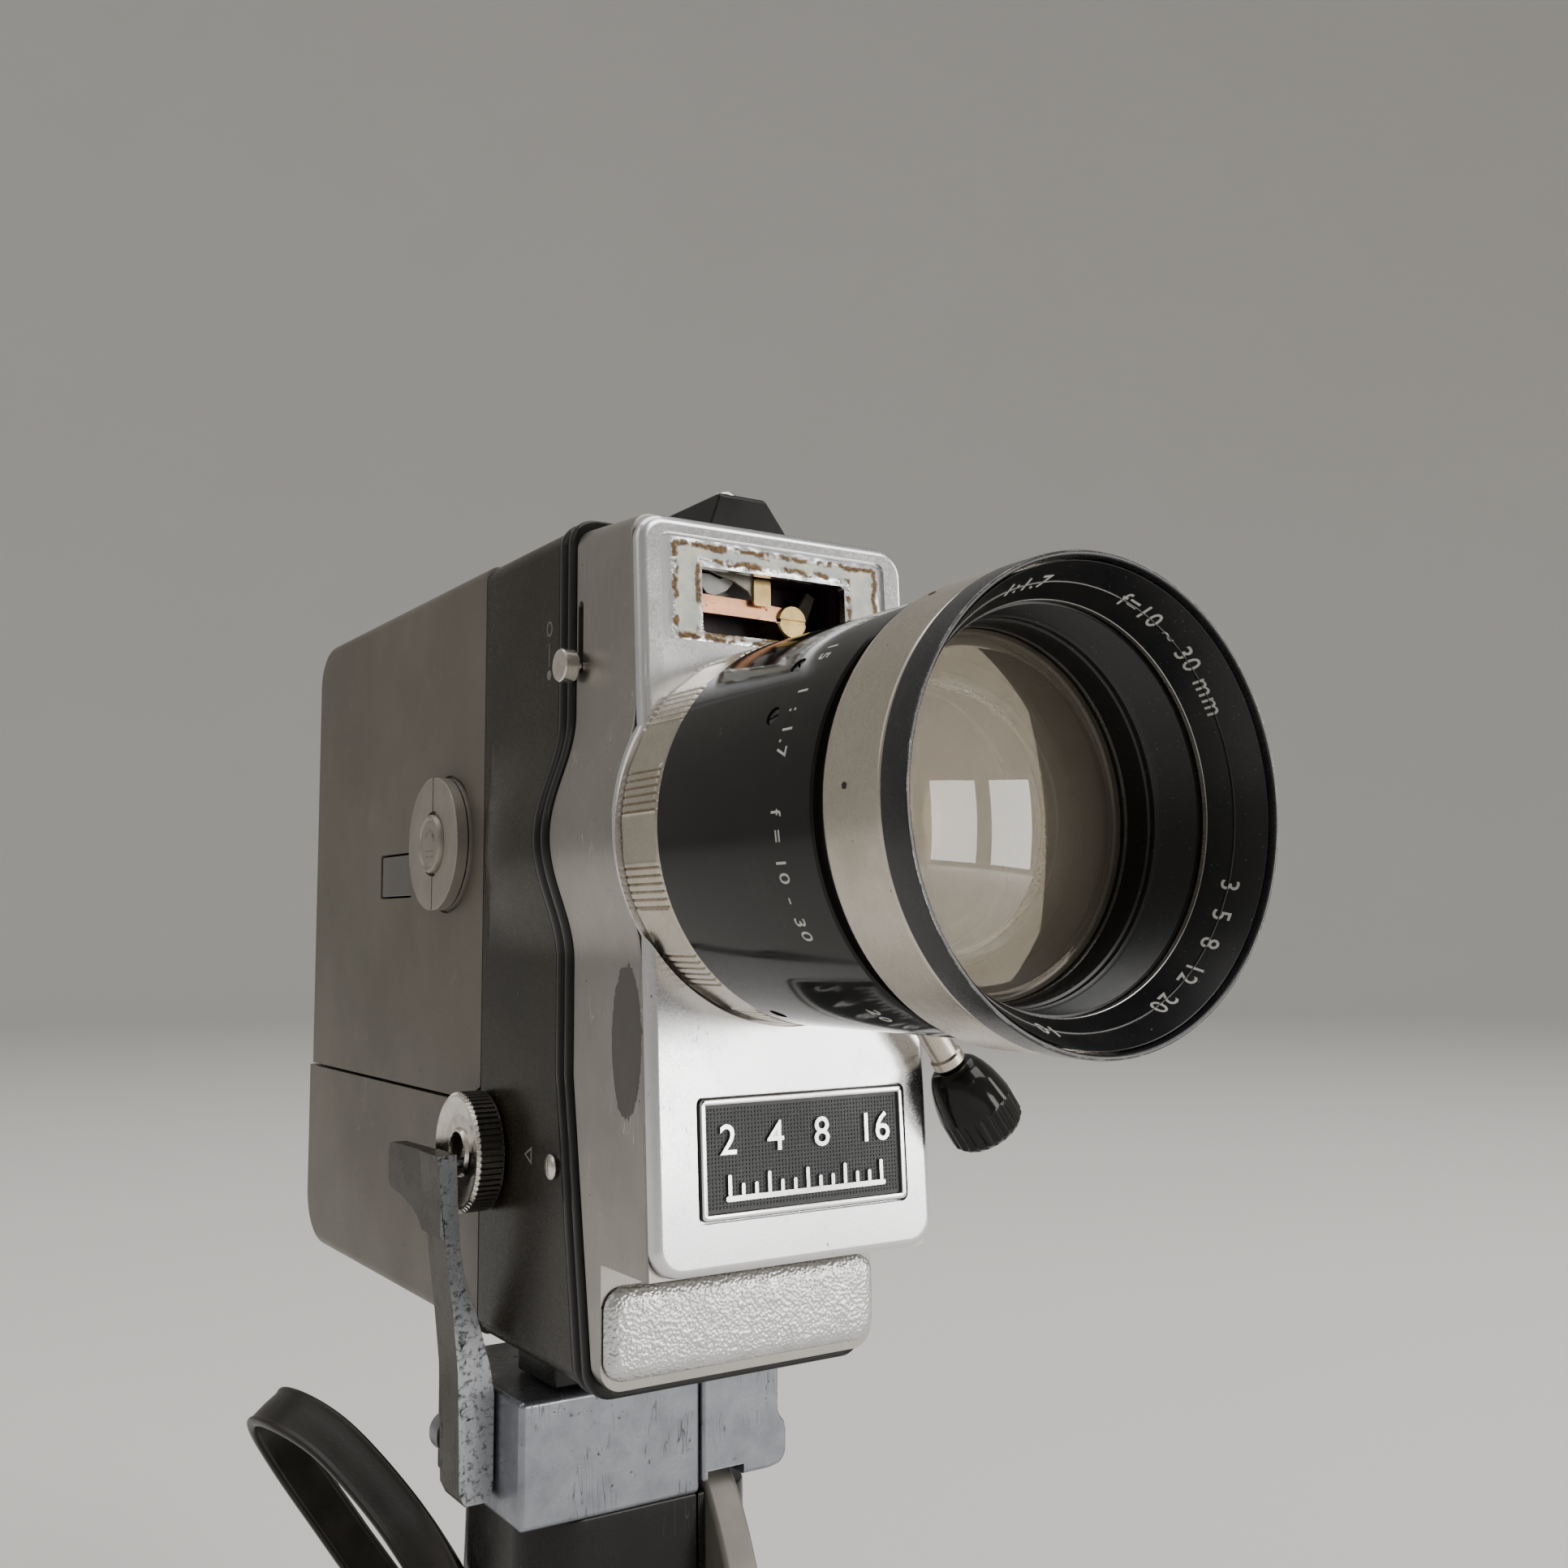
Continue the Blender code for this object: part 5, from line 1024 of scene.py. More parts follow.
def makeRear():
    wall, gap = body["wall"], 0.3
    r = rear
    shell = rough("rearShell", sideSlab(r["front"], r["back"], r["seam"] + gap, r["top"], 0, r["topCorner"],
                                        r["doorSeam"] + gap, body["half"], r["edge"], False))
    carve(shell, slab("X", roundOutline(r["front"] - 5, r["back"] - wall, r["seam"] + 2, r["top"] - wall, 0, 7), -30,
                      body["half"] - wall))
    carve(shell, rod("Y", 8.2, 150, 165, (8.8, 34.0), 64))
    knuckle(shell, 1, 22.0, 34.0)
    knuckle(shell, 1, -28.0, -16.0)
    carve(shell, rod("Z", 1.15, -35, 45, r["hinge"], 32))
    finishPiece(shell, "warm_grey_paint", covers=["rear_shell"], edge=0.12, angle=50)
    door = rough("filmDoor", sideSlab(r["front"], r["back"], r["seam"] + gap, r["top"], 0, r["topCorner"],
                                      -body["half"], r["doorSeam"], r["edge"], True, False))
    carve(door, slab("X", roundOutline(r["front"] + wall, r["back"] - wall, r["seam"] + 2.2, r["top"] - wall, 0, 7),
                     -body["half"] + wall, -10))
    carve(door, rod("X", 4.2, -30, -10, lock["at"], 48))
    carve(door, rod("X", lock["radius"] + 0.5, -30, -23.4, lock["at"], 96))
    y0, y1, z0, z1 = r["window"]
    carve(door, slab("X", roundedRect(y0, y1, z0, z1, (0.5,) * 4, 4), -30, -10))
    carve(door, rod("X", dials["radius"] + 0.7, -30, -10, dials["at"], 96))
    knuckle(door, -1, -15.6, 21.6)
    carve(door, rod("Z", 1.15, -35, 45, r["hinge"], 32))
    finishPiece(door, "warm_grey_paint", "film_door", ["film_door"], edge=0.12, angle=50)
    low, high = nodeBox("door_window")
    outline = roundedRect(low.y + 0.05, high.y - 0.05, low.z + 0.05, high.z - 0.05, (0.4,) * 4, 4)
    makePiece("doorWindow", slab("X", outline, low.x, high.x), "smoked_window", "film_door", ["door_window"],
              edge=0.25)
    pin = lathe("Z", [(0, -28.5), (0.75, -28.5), (0.95, -28.2), (0.95, 34.2), (0.75, 34.5), (0, 34.5)], r["hinge"],
                32)
    makePiece("doorHingePin", pin, "pin_steel", covers=["door_hinge_pin"])
    cover = rough("batteryCover", sideSlab(r["front"], r["back"] + r["proud"], r["bottom"], r["seam"] - gap,
                                           r["lowCorner"], 0, -body["half"], body["half"], r["edge"]))
    carve(cover, slab("X", roundOutline(r["front"] - 5, r["back"], r["bottom"] + wall, r["seam"] + 9, 9, 0),
                      -body["half"] + wall, body["half"] - wall))
    y, z = dials["at"]
    notch = [(50, z - 4.3), (y, z - 4.3)] + arcPoints(y, z, 4.3, -90, 90, 24)[1:] + [(50, z + 4.3)]
    carve(cover, slab("X", notch, -40, 40))
    for i in range(7):    # finger ridges on the back, where the cover is pushed
        ridge = block(-9, 9, r["back"] + r["proud"] - 0.45, r["back"] + r["proud"] + 2, -66 + 2.2 * i, -65 + 2.2 * i)
        carve(cover, ridge)
    finishPiece(cover, "warm_grey_paint", "battery_cover", ["battery_cover"], edge=0.12, angle=50)


makeRear()
print("rear shells made")


# ---- door lock: a turning disc with a tab that folds out of it
def makeLock():
    y, z = lock["at"]
    radius, face = lock["radius"], lock["face"]
    disc = rough("lockDisc", slab("X", arcPoints(y + 0.2, z, radius, -90, 90, 48), face, -23.7))
    carve(disc, rod("X", radius, -24.6, -23.7, (y, z), 96), "UNION")
    carve(disc, rod("X", 3.9, -24.0, -19.9, (y, z), 48), "UNION")
    carve(disc, rod("X", lock["seat"], -30, -25.4, (y, z), 64))
    finishPiece(disc, "lock_grey", "door_lock", ["lock_disc"], edge=0.22, angle=50)
    tab = rough("lockTab", slab("X", arcPoints(y - 0.2, z, radius, 90, 270, 48), face, lock["back"]))
    carve(tab, rod("X", lock["seat"], -30, -26.5, (y, z), 64))
    boss = [(0, -27.5), (3.5, -27.5), (3.75, -27.62), (3.95, -27.62), (4.1, -27.45), (4.3, -27.45), (4.5, -27.75),
            (4.8, -27.9), (5.05, -27.8), (5.3, -27.3), (5.3, -25.7), (0, -25.7)]
    carve(tab, lathe("X", boss, (y, z), 72), "UNION")
    finishPiece(tab, "lock_grey", "lock_tab", ["lock_tab"], edge=0.12, angle=50)
    bow = [(y + 2.2 * math.cos(math.radians(a)), z + 0.6 + 2.0 * math.sin(math.radians(a))) for a in range(20, 161,
            10)]
    bow += [(y + 1.75 * math.cos(math.radians(a)), z + 0.6 + 1.55 * math.sin(math.radians(a))) for a in range(160, 19,
            -10)]
    tip = [(y - 2.6, z + 1.5), (y - 1.3, z + 1.5), (y - 1.95, z + 0.3)]
    lines = [block(-27.56, -27.48, y - 1.7, y + 1.7, z - 1.5 - 1.0 * i, z - 1.2 - 1.0 * i) for i in range(2)]
    makePiece("lockArrow", merged(slab("X", bow, -27.56, -27.48), slab("X", tip, -27.56, -27.48), *lines),
              "mark_grey", "lock_tab")
    latch = roundedRect(y - 3.2, y + 3.2, z - 3.2, z + 13, (2,) * 4, 8)
    makePiece("doorLatch", slab("X", latch, -19.6, -18.2), "pin_steel", "door_lock", ["door_latch"], edge=0.2)


makeLock()


# ---- finder hump, its screw and the eyepiece
hump = {"front": 27.0, "back": 118.0, "foot": 50.6, "top": 60.0, "footX": (2.0, 21.5), "topX": (5.3, 14.2),
        "screw": (8.8, 31.0)}


def makeHump():
    h = hump
    rings = []
    for y, drop in ((h["front"], 0.5), (h["front"] + 0.5, 0), (h["back"] - 9, 0), (h["back"] - 0.4, 6.3), (h["back"], 6.8)):
        share = 1 - drop / (h["top"] - h["foot"])
        a0 = h["footX"][0] + (h["topX"][0] - h["footX"][0]) * share
        a1 = h["footX"][1] + (h["topX"][1] - h["footX"][1]) * share
        rings.append([(h["footX"][0], y, h["foot"]), (h["footX"][1], y, h["foot"]), (a1, y, h["top"] - drop),
                      (a0, y, h["top"] - drop)])
    piece = rough("finderHump", loft(rings))
    roundEdges(piece, 0.9, 4, 25)
    settle(piece)
    x, y = h["screw"]
    carve(piece, rod("Z", 1.2, 55, 63, (x, y), 32))
    carve(piece, block(x - 3.4, x + 3.4, 52, 70, h["top"] - 0.35, h["top"] + 1))    # a shallow panel along the top
    finishPiece(piece, "hump_black", covers=["finder_hump"], angle=35)
    head = [(0, 61.3), (0.9, 61.28), (1.5, 61.1), (1.95, 60.7), (2.1, 60.35), (2.1, 60.2), (0.9, 60.2), (0.9, 55.3),
            (0, 55.3)]
    screw = rough("humpScrew", lathe("Z", head, (x, y), 48))
    carve(screw, block(x - 3, x + 3, y - 0.28, y + 0.28, 60.85, 62))
    finishPiece(screw, "screw_chrome", covers=["hump_screw"], edge=0.05)


makeHump()
eyepiece = {"at": (8.8, 34.0)}


def makeEyepiece():
    at = eyepiece["at"]
    tube = [(6.5, 154.4), (7.8, 154.4), (7.8, 158.0), (9.0, 158.0), (9.2, 158.3)]
    for i in range(5):
        y = 159.0 + i * 1.1
        tube += [(9.2, y), (8.95, y + 0.2), (8.95, y + 0.4), (9.2, y + 0.6)]
    tube += [(9.2, 165.8), (9.0, 166.0), (6.5, 166.0)]
    makePiece("eyepieceTube", lathe("Y", tube, at, 96), "tube_black", covers=["eyepiece_tube"], angle=35)
    cup = [(9.5, 160.0), (10.8, 160.0), (11.0, 160.3), (11.05, 161.5), (10.75, 161.9), (10.8, 162.5), (11.2, 162.9),
           (11.25, 164.2), (10.95, 164.6), (11.1, 165.4), (11.5, 166.2), (12.4, 168.6), (13.3, 170.4), (13.9, 171.3),
           (14.0, 171.8), (13.8, 172.2), (13.3, 172.3), (12.9, 172.0), (11.9, 170.6), (10.8, 168.7), (9.9, 167.3),
           (9.5, 166.6)]
    makePiece("eyecup", lathe("Y", cup, at, 96), "eyecup_rubber", covers=["eyecup"], angle=60)
    lens = [(0, 157.5), (3.2, 157.7), (6.2, 158.4), (6.2, 160.0), (4.6, 160.45), (3.0, 160.8), (1.5, 160.95),
            (0, 161.0)]
    makePiece("eyepieceLens", lathe("Y", lens, at, 64), "lens_glass", covers=["eyepiece_lens"], angle=40)


makeEyepiece()
print("lock, hump and eyepiece made")


# ---- dials, buttons and slider
def makeDial(name, side, shownBy, covered):
    d = dials
    y, z = d["at"]
    out, inside = d["face"], body["half"] + 0.5
    if side > 0:
        out = nodeBox(covered)[1].x

    def teeth(depth):
        def radius(t):
            wave = 0.5 + 0.5 * math.cos(t * d["teeth"])
            return d["radius"] - depth * (1 - min(max(wave * 3.0 - 0.5, 0), 1))
        return radius

    steps = d["teeth"] * 8
    r = d["radius"]
    sideStations = [(3.35, side * (inside + 0.1)), (r - 0.6, side * (inside + 0.1)),
                    (r - 0.25, side * inside + side * 0.12), (teeth(0.0), side * (inside + 0.35)),
                    (teeth(d["toothDeep"]), side * (inside + 0.6)), (teeth(d["toothDeep"]), side * (out - 0.75)),
                    (3.35, side * (out - 0.75))]
    makePiece(name + "Knurl", spun("X", sideStations, (y, z), steps, True), "dial_dark", shownBy, [covered], angle=30)
    face = [(3.32, side * (out - 0.72)), (teeth(d["toothDeep"] * 0.9), side * (out - 0.73)),
            (teeth(d["toothDeep"] * 0.8), side * (out - 0.55)), (r - 0.55, side * (out - 0.02)),
            (r - 0.8, side * out), (r - 1.1, side * (out - 0.08))]
    for i in range(7):
        share = i / 6
        face.append((r - 1.3 - (r - 5.6) * share, side * (out - 0.2 - 0.7 * math.sin(share * math.pi / 2))))
    face += [(4.1, side * (out - 0.7)), (3.8, side * (out - 0.12)), (3.4, side * (out - 0.12)),
             (3.32, side * (out - 0.3))]
    makePiece(name + "Face", spun("X", face, (y, z), steps, True), "screw_chrome", shownBy, angle=30)
    hub = [(3.3, side * 20.9), (3.85, side * 20.9), (3.85, side * inside), (3.3, side * inside)]
    makePiece(name + "Hub", lathe("X", hub, (y, z), 64), "pin_steel", shownBy)


def makeControls():
    makeDial("runDial", -1, "run_dial", "run_dial")
    makeDial("speedDial", 1, "speed_dial", "speed_dial")
    y, z = dials["at"]
    button = [(0, -19.0), (3.0, -19.0), (3.0, -27.25), (2.9, -27.5), (2.6, -27.68), (2.2, -27.7), (1.75, -27.45),
              (1.6, -27.1), (0, -27.1)]
    socket = [(0, -27.12), (1.55, -27.12), (1.5, -27.3), (1.25, -27.3), (1.15, -27.14), (0, -27.14)]
    makePiece("releaseButton", lathe("X", button, (y, z), 64), "screw_chrome", "release_button", ["release_button"],
              angle=30)
    makePiece("releaseSocket", lathe("X", socket, (y, z), 48), "socket_dark", "release_button",
              angle=30)
    push = [(0, 19.0), (2.7, 19.0), (3.0, 19.3), (3.0, 26.6), (2.8, 26.9), (2.3, 27.0), (1.2, 26.8), (0, 26.7)]
    makePiece("testButton", lathe("X", push, (y, z), 64), "button_red", "test_button", ["test_button"], angle=30)
    s = slider
    y0, z0 = s["slotY"], s["low"]
    head = [(0, -27.4), (2.05, -27.38), (2.4, -27.3), (2.58, -27.1), (2.6, -26.9), (2.6, -25.2), (2.45, -24.95),
            (2.2, -24.9), (0, -24.9)]
    knob = rough("modeSlider", lathe("X", head, (y0 + 0.7, z0), 64))
    carve(knob, rod("X", 0.65, -25.2, -21.4, (y0, z0), 24), "UNION")
    carve(knob, block(-21.8, -21.0, y0 - 2.2, y0 + 1.2, z0 - 2.4, z0 + 2.4), "UNION")
    finishPiece(knob, "screw_chrome", "mode_slider", ["mode_slider"], angle=30)
    makePiece("slotLining", slab("X", roundedRect(y0 - 1.6, y0 + 1.6, z0 - 2.5, z0 + s["travel"] + 2.5, (1.0,) * 4,
                                                  6), -20.9, -20.6), "socket_dark")


makeControls()


# plain index marks: two dots joined by a line beside the slider, and a triangle by the dial
def makeMarks():
    flat = -body["half"]
    y, z = 31.4, 29.4
    ringOut = [(y + 1.05 * math.cos(t / 24 * 2 * math.pi),
                z + 4.6 + 1.25 * math.sin(t / 24 * 2 * math.pi)) for t in range(24)]
    ringIn = [(y + (a - y) * 0.72, z + 4.6 + (b - z - 4.6) * 0.76) for a, b in ringOut]
    hoop = loft([[(flat - 0.03, a, b) for a, b in ringOut], [(flat - 0.03, a, b) for a, b in ringIn],
                 [(flat + 0.02, a, b) for a, b in ringIn], [(flat + 0.02, a, b) for a, b in ringOut]], True)
    line = block(flat - 0.03, flat + 0.02, y - 0.12, y + 0.12, z - 1.5, z + 2.3)
    dot = rod("X", 0.8, flat - 0.03, flat + 0.02, (y, z - 2.9), 24)
    t0, t1 = [(39.1, -49.7), (36.3, -48.3), (36.3, -51.1)], [(38.5, -49.7), (36.65, -48.8), (36.65, -50.6)]
    triangle = loft([[(x, a, b) for a, b in t] for x,
                     t in ((flat - 0.03, t0), (flat - 0.03, t1), (flat + 0.02, t1), (flat + 0.02, t0))], True)
    makePiece("indexMarks", merged(hoop, line, dot, triangle), "mark_grey")


makeMarks()
print("controls made")


# ---- lens
lens = {"barrelR": 27.9, "rimFront": -68.1, "rimBack": -63.4, "focusBack": -52.0, "step": -48.9, "barrelBack": -11.9,
        "zoomFront": -11.6, "zoomBack": -0.9, "mountR": 20.2, "pads": 13, "padRibs": 6, "knobTurn": -54.0,
        "knobY": -7.9}


# ribbed pads standing a little proud of flats between them
def zoomRadius(t):
    period = 360 / lens["pads"]
    phase = (math.degrees(t) - 134.9) % period
    wide = period / 2
    if phase < wide:
        rib = (phase / wide * lens["padRibs"]) % 1
        return lens["barrelR"] - (0.40 if 0.70 < rib < 0.93 else 0.0) - (0.15 if rib <= 0.06 or rib >= 0.98 else 0)
    away = math.radians(phase - 1.5 * wide)
    return (lens["barrelR"] - 0.1) * math.cos(math.radians(wide / 2)) / math.cos(away)


def makeBarrel():
    l = lens
    r = l["barrelR"]
    mount = [(17.0, -17.0), (l["mountR"], -17.0), (l["mountR"], 8.0), (23.5, 8.0), (23.5, 10.0), (17.0, 10.0)]
    makePiece("lensMount", lathe("Y", mount, steps=96), "lens_silver", covers=["lens_mount"], angle=30)
    front, back = l["zoomFront"], l["zoomBack"]

    def atMost(limit):
        return lambda t: min(zoomRadius(t), limit)

    stations = [(l["mountR"] + 0.4, front), (26.6, front), (atMost(27.2), front + 0.15), (atMost(27.7), front + 0.55),
                (zoomRadius, front + 0.9), (zoomRadius, back - 0.9), (atMost(27.7), back - 0.5),
                (atMost(27.2), back - 0.15), (26.8, back), (l["mountR"] + 0.4, back)]
    makePiece("zoomRing", spun("Y", stations, steps=13 * 60, closed=True), "lens_silver", "zoom_group", ["zoom_ring"],
              angle=25)
    barrel = [(25.2, -51.7), (26.8, -51.7), (27.0, -51.5), (27.0, l["step"] - 0.1), (27.6, l["step"]),
              (r, l["step"] + 0.3), (r, l["barrelBack"] - 0.3), (27.6, l["barrelBack"]),
              (l["mountR"] + 0.4, l["barrelBack"]), (l["mountR"] + 0.4, -14.0), (25.2, -14.0)]
    piece = rough("lensBarrel", lathe("Y", barrel, steps=192))
    screws = [(138.0, -35.7), (155.0, -36.9), (-113.0, -15.6)]
    for angle, y in screws:
        t = math.radians(angle)
        hole = rod("Z", 1.25, r - 1.4, r + 2, (0, 0), 32)
        hole.transform(Matrix.Translation((0, y, 0)) @ Matrix.Rotation(math.pi / 2 - t, 4, "Y"))
        carve(piece, hole)
    finishPiece(piece, "barrel_black", covers=["lens_barrel"], angle=35)
    for i, (angle, y) in enumerate(screws):    # small slotted grub screws
        t = math.radians(angle)
        place = Matrix.Translation((0, y, 0)) @ Matrix.Rotation(math.pi / 2 - t, 4, "Y") @ Matrix.Rotation(0.8 + i, 4,
                "Z")
        grub = rough("grubScrew%d" % (i + 1), merged(rod("Z", 1.15, r - 1.2, r - 0.25, (0, 0), 32, 0.12)))
        slit = block(-2, 2, -0.2, 0.2, r - 0.6, r + 1)
        carve(grub, slit)
        turned = Matrix.Translation(lensAt) @ Matrix.Scale(mm, 4) @ place @ Matrix.Scale(1 / mm,
                4) @ Matrix.Translation(-lensAt)
        grub.data.transform(turned)
        finishPiece(grub, "rim_black", edge=0.04)
    focus = [(26.4, l["rimBack"] + 0.2), (28.35, l["rimBack"] + 0.2), (28.7, l["rimBack"] + 0.45),
             (28.8, l["rimBack"] + 0.8), (28.8, l["focusBack"] - 0.9), (28.72, l["focusBack"] - 0.5),
             (28.4, l["focusBack"] - 0.12), (28.1, l["focusBack"]), (26.4, l["focusBack"])]
    makePiece("focusRing", lathe("Y", focus, steps=192), "lens_silver", "focus_group", ["focus_ring"], angle=50)
    rim = [(28.35, l["rimFront"] + 0.25), (28.45, l["rimFront"] + 0.06), (28.6, l["rimFront"]),
           (28.88, l["rimFront"] + 0.04), (29.0, l["rimFront"] + 0.22), (29.0, l["rimBack"] - 0.25),
           (28.8, l["rimBack"]), (28.2, l["rimBack"])]
    makePiece("frontRim", lathe("Y", rim, steps=192), "rim_black", "focus_group", ["front_rim"], angle=45)
    dot = merged(*[rod("Z", 0.42, 28.7, 28.86, (0, 0), 20) for _ in range(1)])
    dot.transform(Matrix.Translation((0, -56.7, 0)) @ Matrix.Rotation(math.radians(90 - 177), 4, "Y"))
    other = rod("Z", 0.5, 28.7, 28.86, (0, 0), 20)
    other.transform(Matrix.Translation((0, -54.6, 0)) @ Matrix.Rotation(math.radians(90 - 120), 4, "Y"))
    makePiece("focusPins", merged(dot, other), "socket_dark", "focus_group")


makeBarrel()


# what shows inside the rim: the number ring, its bright edge, stepped baffles and the glass
def makeNose():
    ring = [(24.75, -60.35), (27.9, -67.2), (27.97, -67.25), (27.95, -63.8), (26.1, -63.6), (26.1, -59.7),
            (24.75, -59.7)]
    makePiece("nameRing", lathe("Y", ring, steps=192), "cell_black", "focus_group", ["name_ring"], angle=25)
    bright = [(24.6, -60.1), (24.62, -60.38), (24.7, -60.44), (24.78, -60.3), (24.7, -59.8), (24.6, -59.8)]
    makePiece("nameRingEdge", lathe("Y", bright, steps=192), "cell_bright", "focus_group",
              angle=40)
    cell = [(26.1, -59.4), (24.3, -59.4)]
    for i in range(16):    # a fine thread down the inside
        y = -59.2 + i * 0.42
        cell += [(24.3, y), (24.55, y + 0.2)]
    cell += [(24.3, -52.4), (24.0, -52.2), (24.0, -51.4), (23.7, -51.2), (23.7, -49.2), (23.56, -49.0),
             (23.56, -41.8), (22.0, -41.8), (22.0, -40.0), (24.9, -40.0), (24.9, -52.0), (26.1, -52.2)]
    makePiece("frontCell", lathe("Y", cell, steps=160), "cell_black", "focus_group", ["front_cell"], angle=35)
    retainer = [(23.5, -47.6), (23.66, -47.9), (24.0, -47.9), (23.7, -47.2), (23.5, -47.2)]
    makePiece("glassRetainer", lathe("Y", retainer, steps=160), "cell_bright", "focus_group",
              angle=40)
    low, high = -50.6, -42.3
    curve = (23.5 ** 2 + 4.0 ** 2) / (2 * 4.0)
    front = []
    for i in range(25):
        radius = 23.45 * i / 24
        front.append((radius, low + curve - math.sqrt(curve * curve - radius * radius)))
    rear2 = [(23.45, high - 0.3)] + [(22.0 * i / 16, high - 0.9 * (1 - (i / 16) ** 2)) for i in range(16, -1, -1)]
    shape = lathe("Y", front + rear2, steps=160)
    makePiece("frontLens", shape, "lens_glass", "focus_group", ["front_lens"], angle=50)


makeNose()


# behind the front glass: the sliding cell, brown inner walls, the iris and the fixed cell
def makeInnerLens():
    sleeve = [(22.2, -39.6), (24.9, -39.6), (24.9, -39.2), (20.0, -36.2), (19.7, -36.4)]
    makePiece("innerCone", lathe("Y", sleeve, steps=128), "cell_brown", "focus_group", angle=40)
    hold = [(15.9, -35.0), (16.4, -35.6), (17.6, -35.6), (17.9, -35.0), (19.8, -35.0), (20.1, -35.5), (21.6, -35.5),
            (22.0, -35.0), (24.3, -35.0), (24.3, -28.0), (15.9, -28.0)]
    makePiece("variatorCell", lathe("Y", hold, steps=128), "cell_brown", "variator", ["variator_cell"], angle=35)
    ringA = [(15.5, -35.75), (15.9, -35.9), (16.3, -35.75), (16.3, -35.2), (15.5, -35.2)]
    makePiece("variatorRing", lathe("Y", ringA, steps=128), "cell_bright", "variator", angle=40)
    curve = 30.0
    glass = [(15.8 * i / 16, -33.9 + curve - math.sqrt(curve ** 2 - (15.8 * i / 16) ** 2) - 1.6) for i in range(17)]
    glass += [(15.8 * i / 8, -29.0 - 0.6 * (1 - (i / 8) ** 2)) for i in range(8, -1, -1)]
    makePiece("variatorGlass", lathe("Y", glass, steps=96), "inner_glass", "variator", angle=50)
    relay = [(9.0, -5.2), (11.6, -5.6), (12.0, -5.2), (16.6, -5.0), (16.6, 9.0), (9.0, 9.0)]
    makePiece("relayCell", lathe("Y", relay, steps=96), "cell_black", covers=["relay_cell"], angle=35)
    relayGlass = [(0, -6.0), (4, -5.8), (8.9, -5.0), (8.9, 4.0), (0, 5.0)]
    makePiece("relayGlass", lathe("Y", relayGlass, steps=64), "inner_glass", angle=50)
    blades = bmesh.new()
    for i in range(6):    # iris, nearly closed
        t = 2 * math.pi * i / 6
        points = []
        for a, b in ((3.2, -2.2), (3.2, 7.5), (9.5, 12.4), (14.2, 6.0), (13.0, -4.0)):
            points.append((a * math.cos(t) - b * math.sin(t), 10.4 + 0.09 * i, a * math.sin(t) + b * math.cos(t)))
        top = [blades.verts.new(p) for p in points]
        under = [blades.verts.new((x, y + 0.07, z)) for x, y, z in points]
        blades.faces.new(top)
        blades.faces.new(under)
        for k in range(5):
            blades.faces.new((top[k], top[(k + 1) % 5], under[(k + 1) % 5], under[k]))
    makePiece("irisBlades", blades, "pin_steel")
    makePiece("barrelLining", lathe("Y", [(16.4, -16.8), (16.9, -16.8), (16.9, 7.8), (16.7, 7.8)], steps=96),
              "cell_brown")
    low, high = nodeBox("finder_prism")
    prismShape = rough("finderPrism", block(low.x, high.x, low.y, high.y, low.z, high.z))
    finishPiece(prismShape, "inner_glass", covers=["finder_prism"], edge=0.4)


makeInnerLens()
print("lens made")


# ---- engraved numbers, plain ones only
numbers = {"ringSize": 3.3, "barrelSize": 3.0, "lift": 0.05}


# words on the number ring, read clockwise from the front, their tops outward
def roundRing(words, middleAngle, size, along):
    shape = wordMesh(words, size, 0.06, 1.12)
    slant = Vector((27.9 - 24.75, -67.2 + 60.35)).normalized()
    for vert in shape.verts:
        across = along + vert.co.y
        radius = 24.75 + slant.x * across
        y = -60.35 + slant.y * across
        t = math.radians(middleAngle) - vert.co.x / 26.3
        lift = numbers["lift"] + vert.co.z
        radius += slant.y * lift * 1.0
        y += -slant.x * lift
        vert.co = Vector((radius * math.cos(t), y, radius * math.sin(t)))
    return shape


# words round the barrel, read downwards on its left side, their tops towards the front
def roundBarrel(words, middleAngle, size, y, radius):
    shape = wordMesh(words, size, 0.06, 1.25)
    for vert in shape.verts:
        t = math.radians(middleAngle) + vert.co.x / radius
        r = radius + 0.02 + vert.co.z
        vert.co = Vector((r * math.cos(t), y - vert.co.y, r * math.sin(t)))
    return shape


def makeNumbers():
    n = numbers
    words = [("f=10 ~ 30 mm", 51.0), ("1:1.7", 107.0), ("3  5  8  12  20", -42.0), ("10", -104.0)]
    makePiece("ringNumbers", merged(*[roundRing(text, angle, n["ringSize"], 2.6) for text, angle in words]),
              "mark_white", "focus_group")
    side = [("1 : 1.7", 158.0, -40.5), ("f = 10 - 30", 197.0, -40.5), ("10   15", 128.0, -40.0),
            ("20   30", 250.0, -40.5)]
    makePiece("barrelNumbers", merged(*[roundBarrel(text, angle, n["barrelSize"], y, lens["barrelR"]) for text, angle,
                                        y in side]), "mark_white")


makeNumbers()


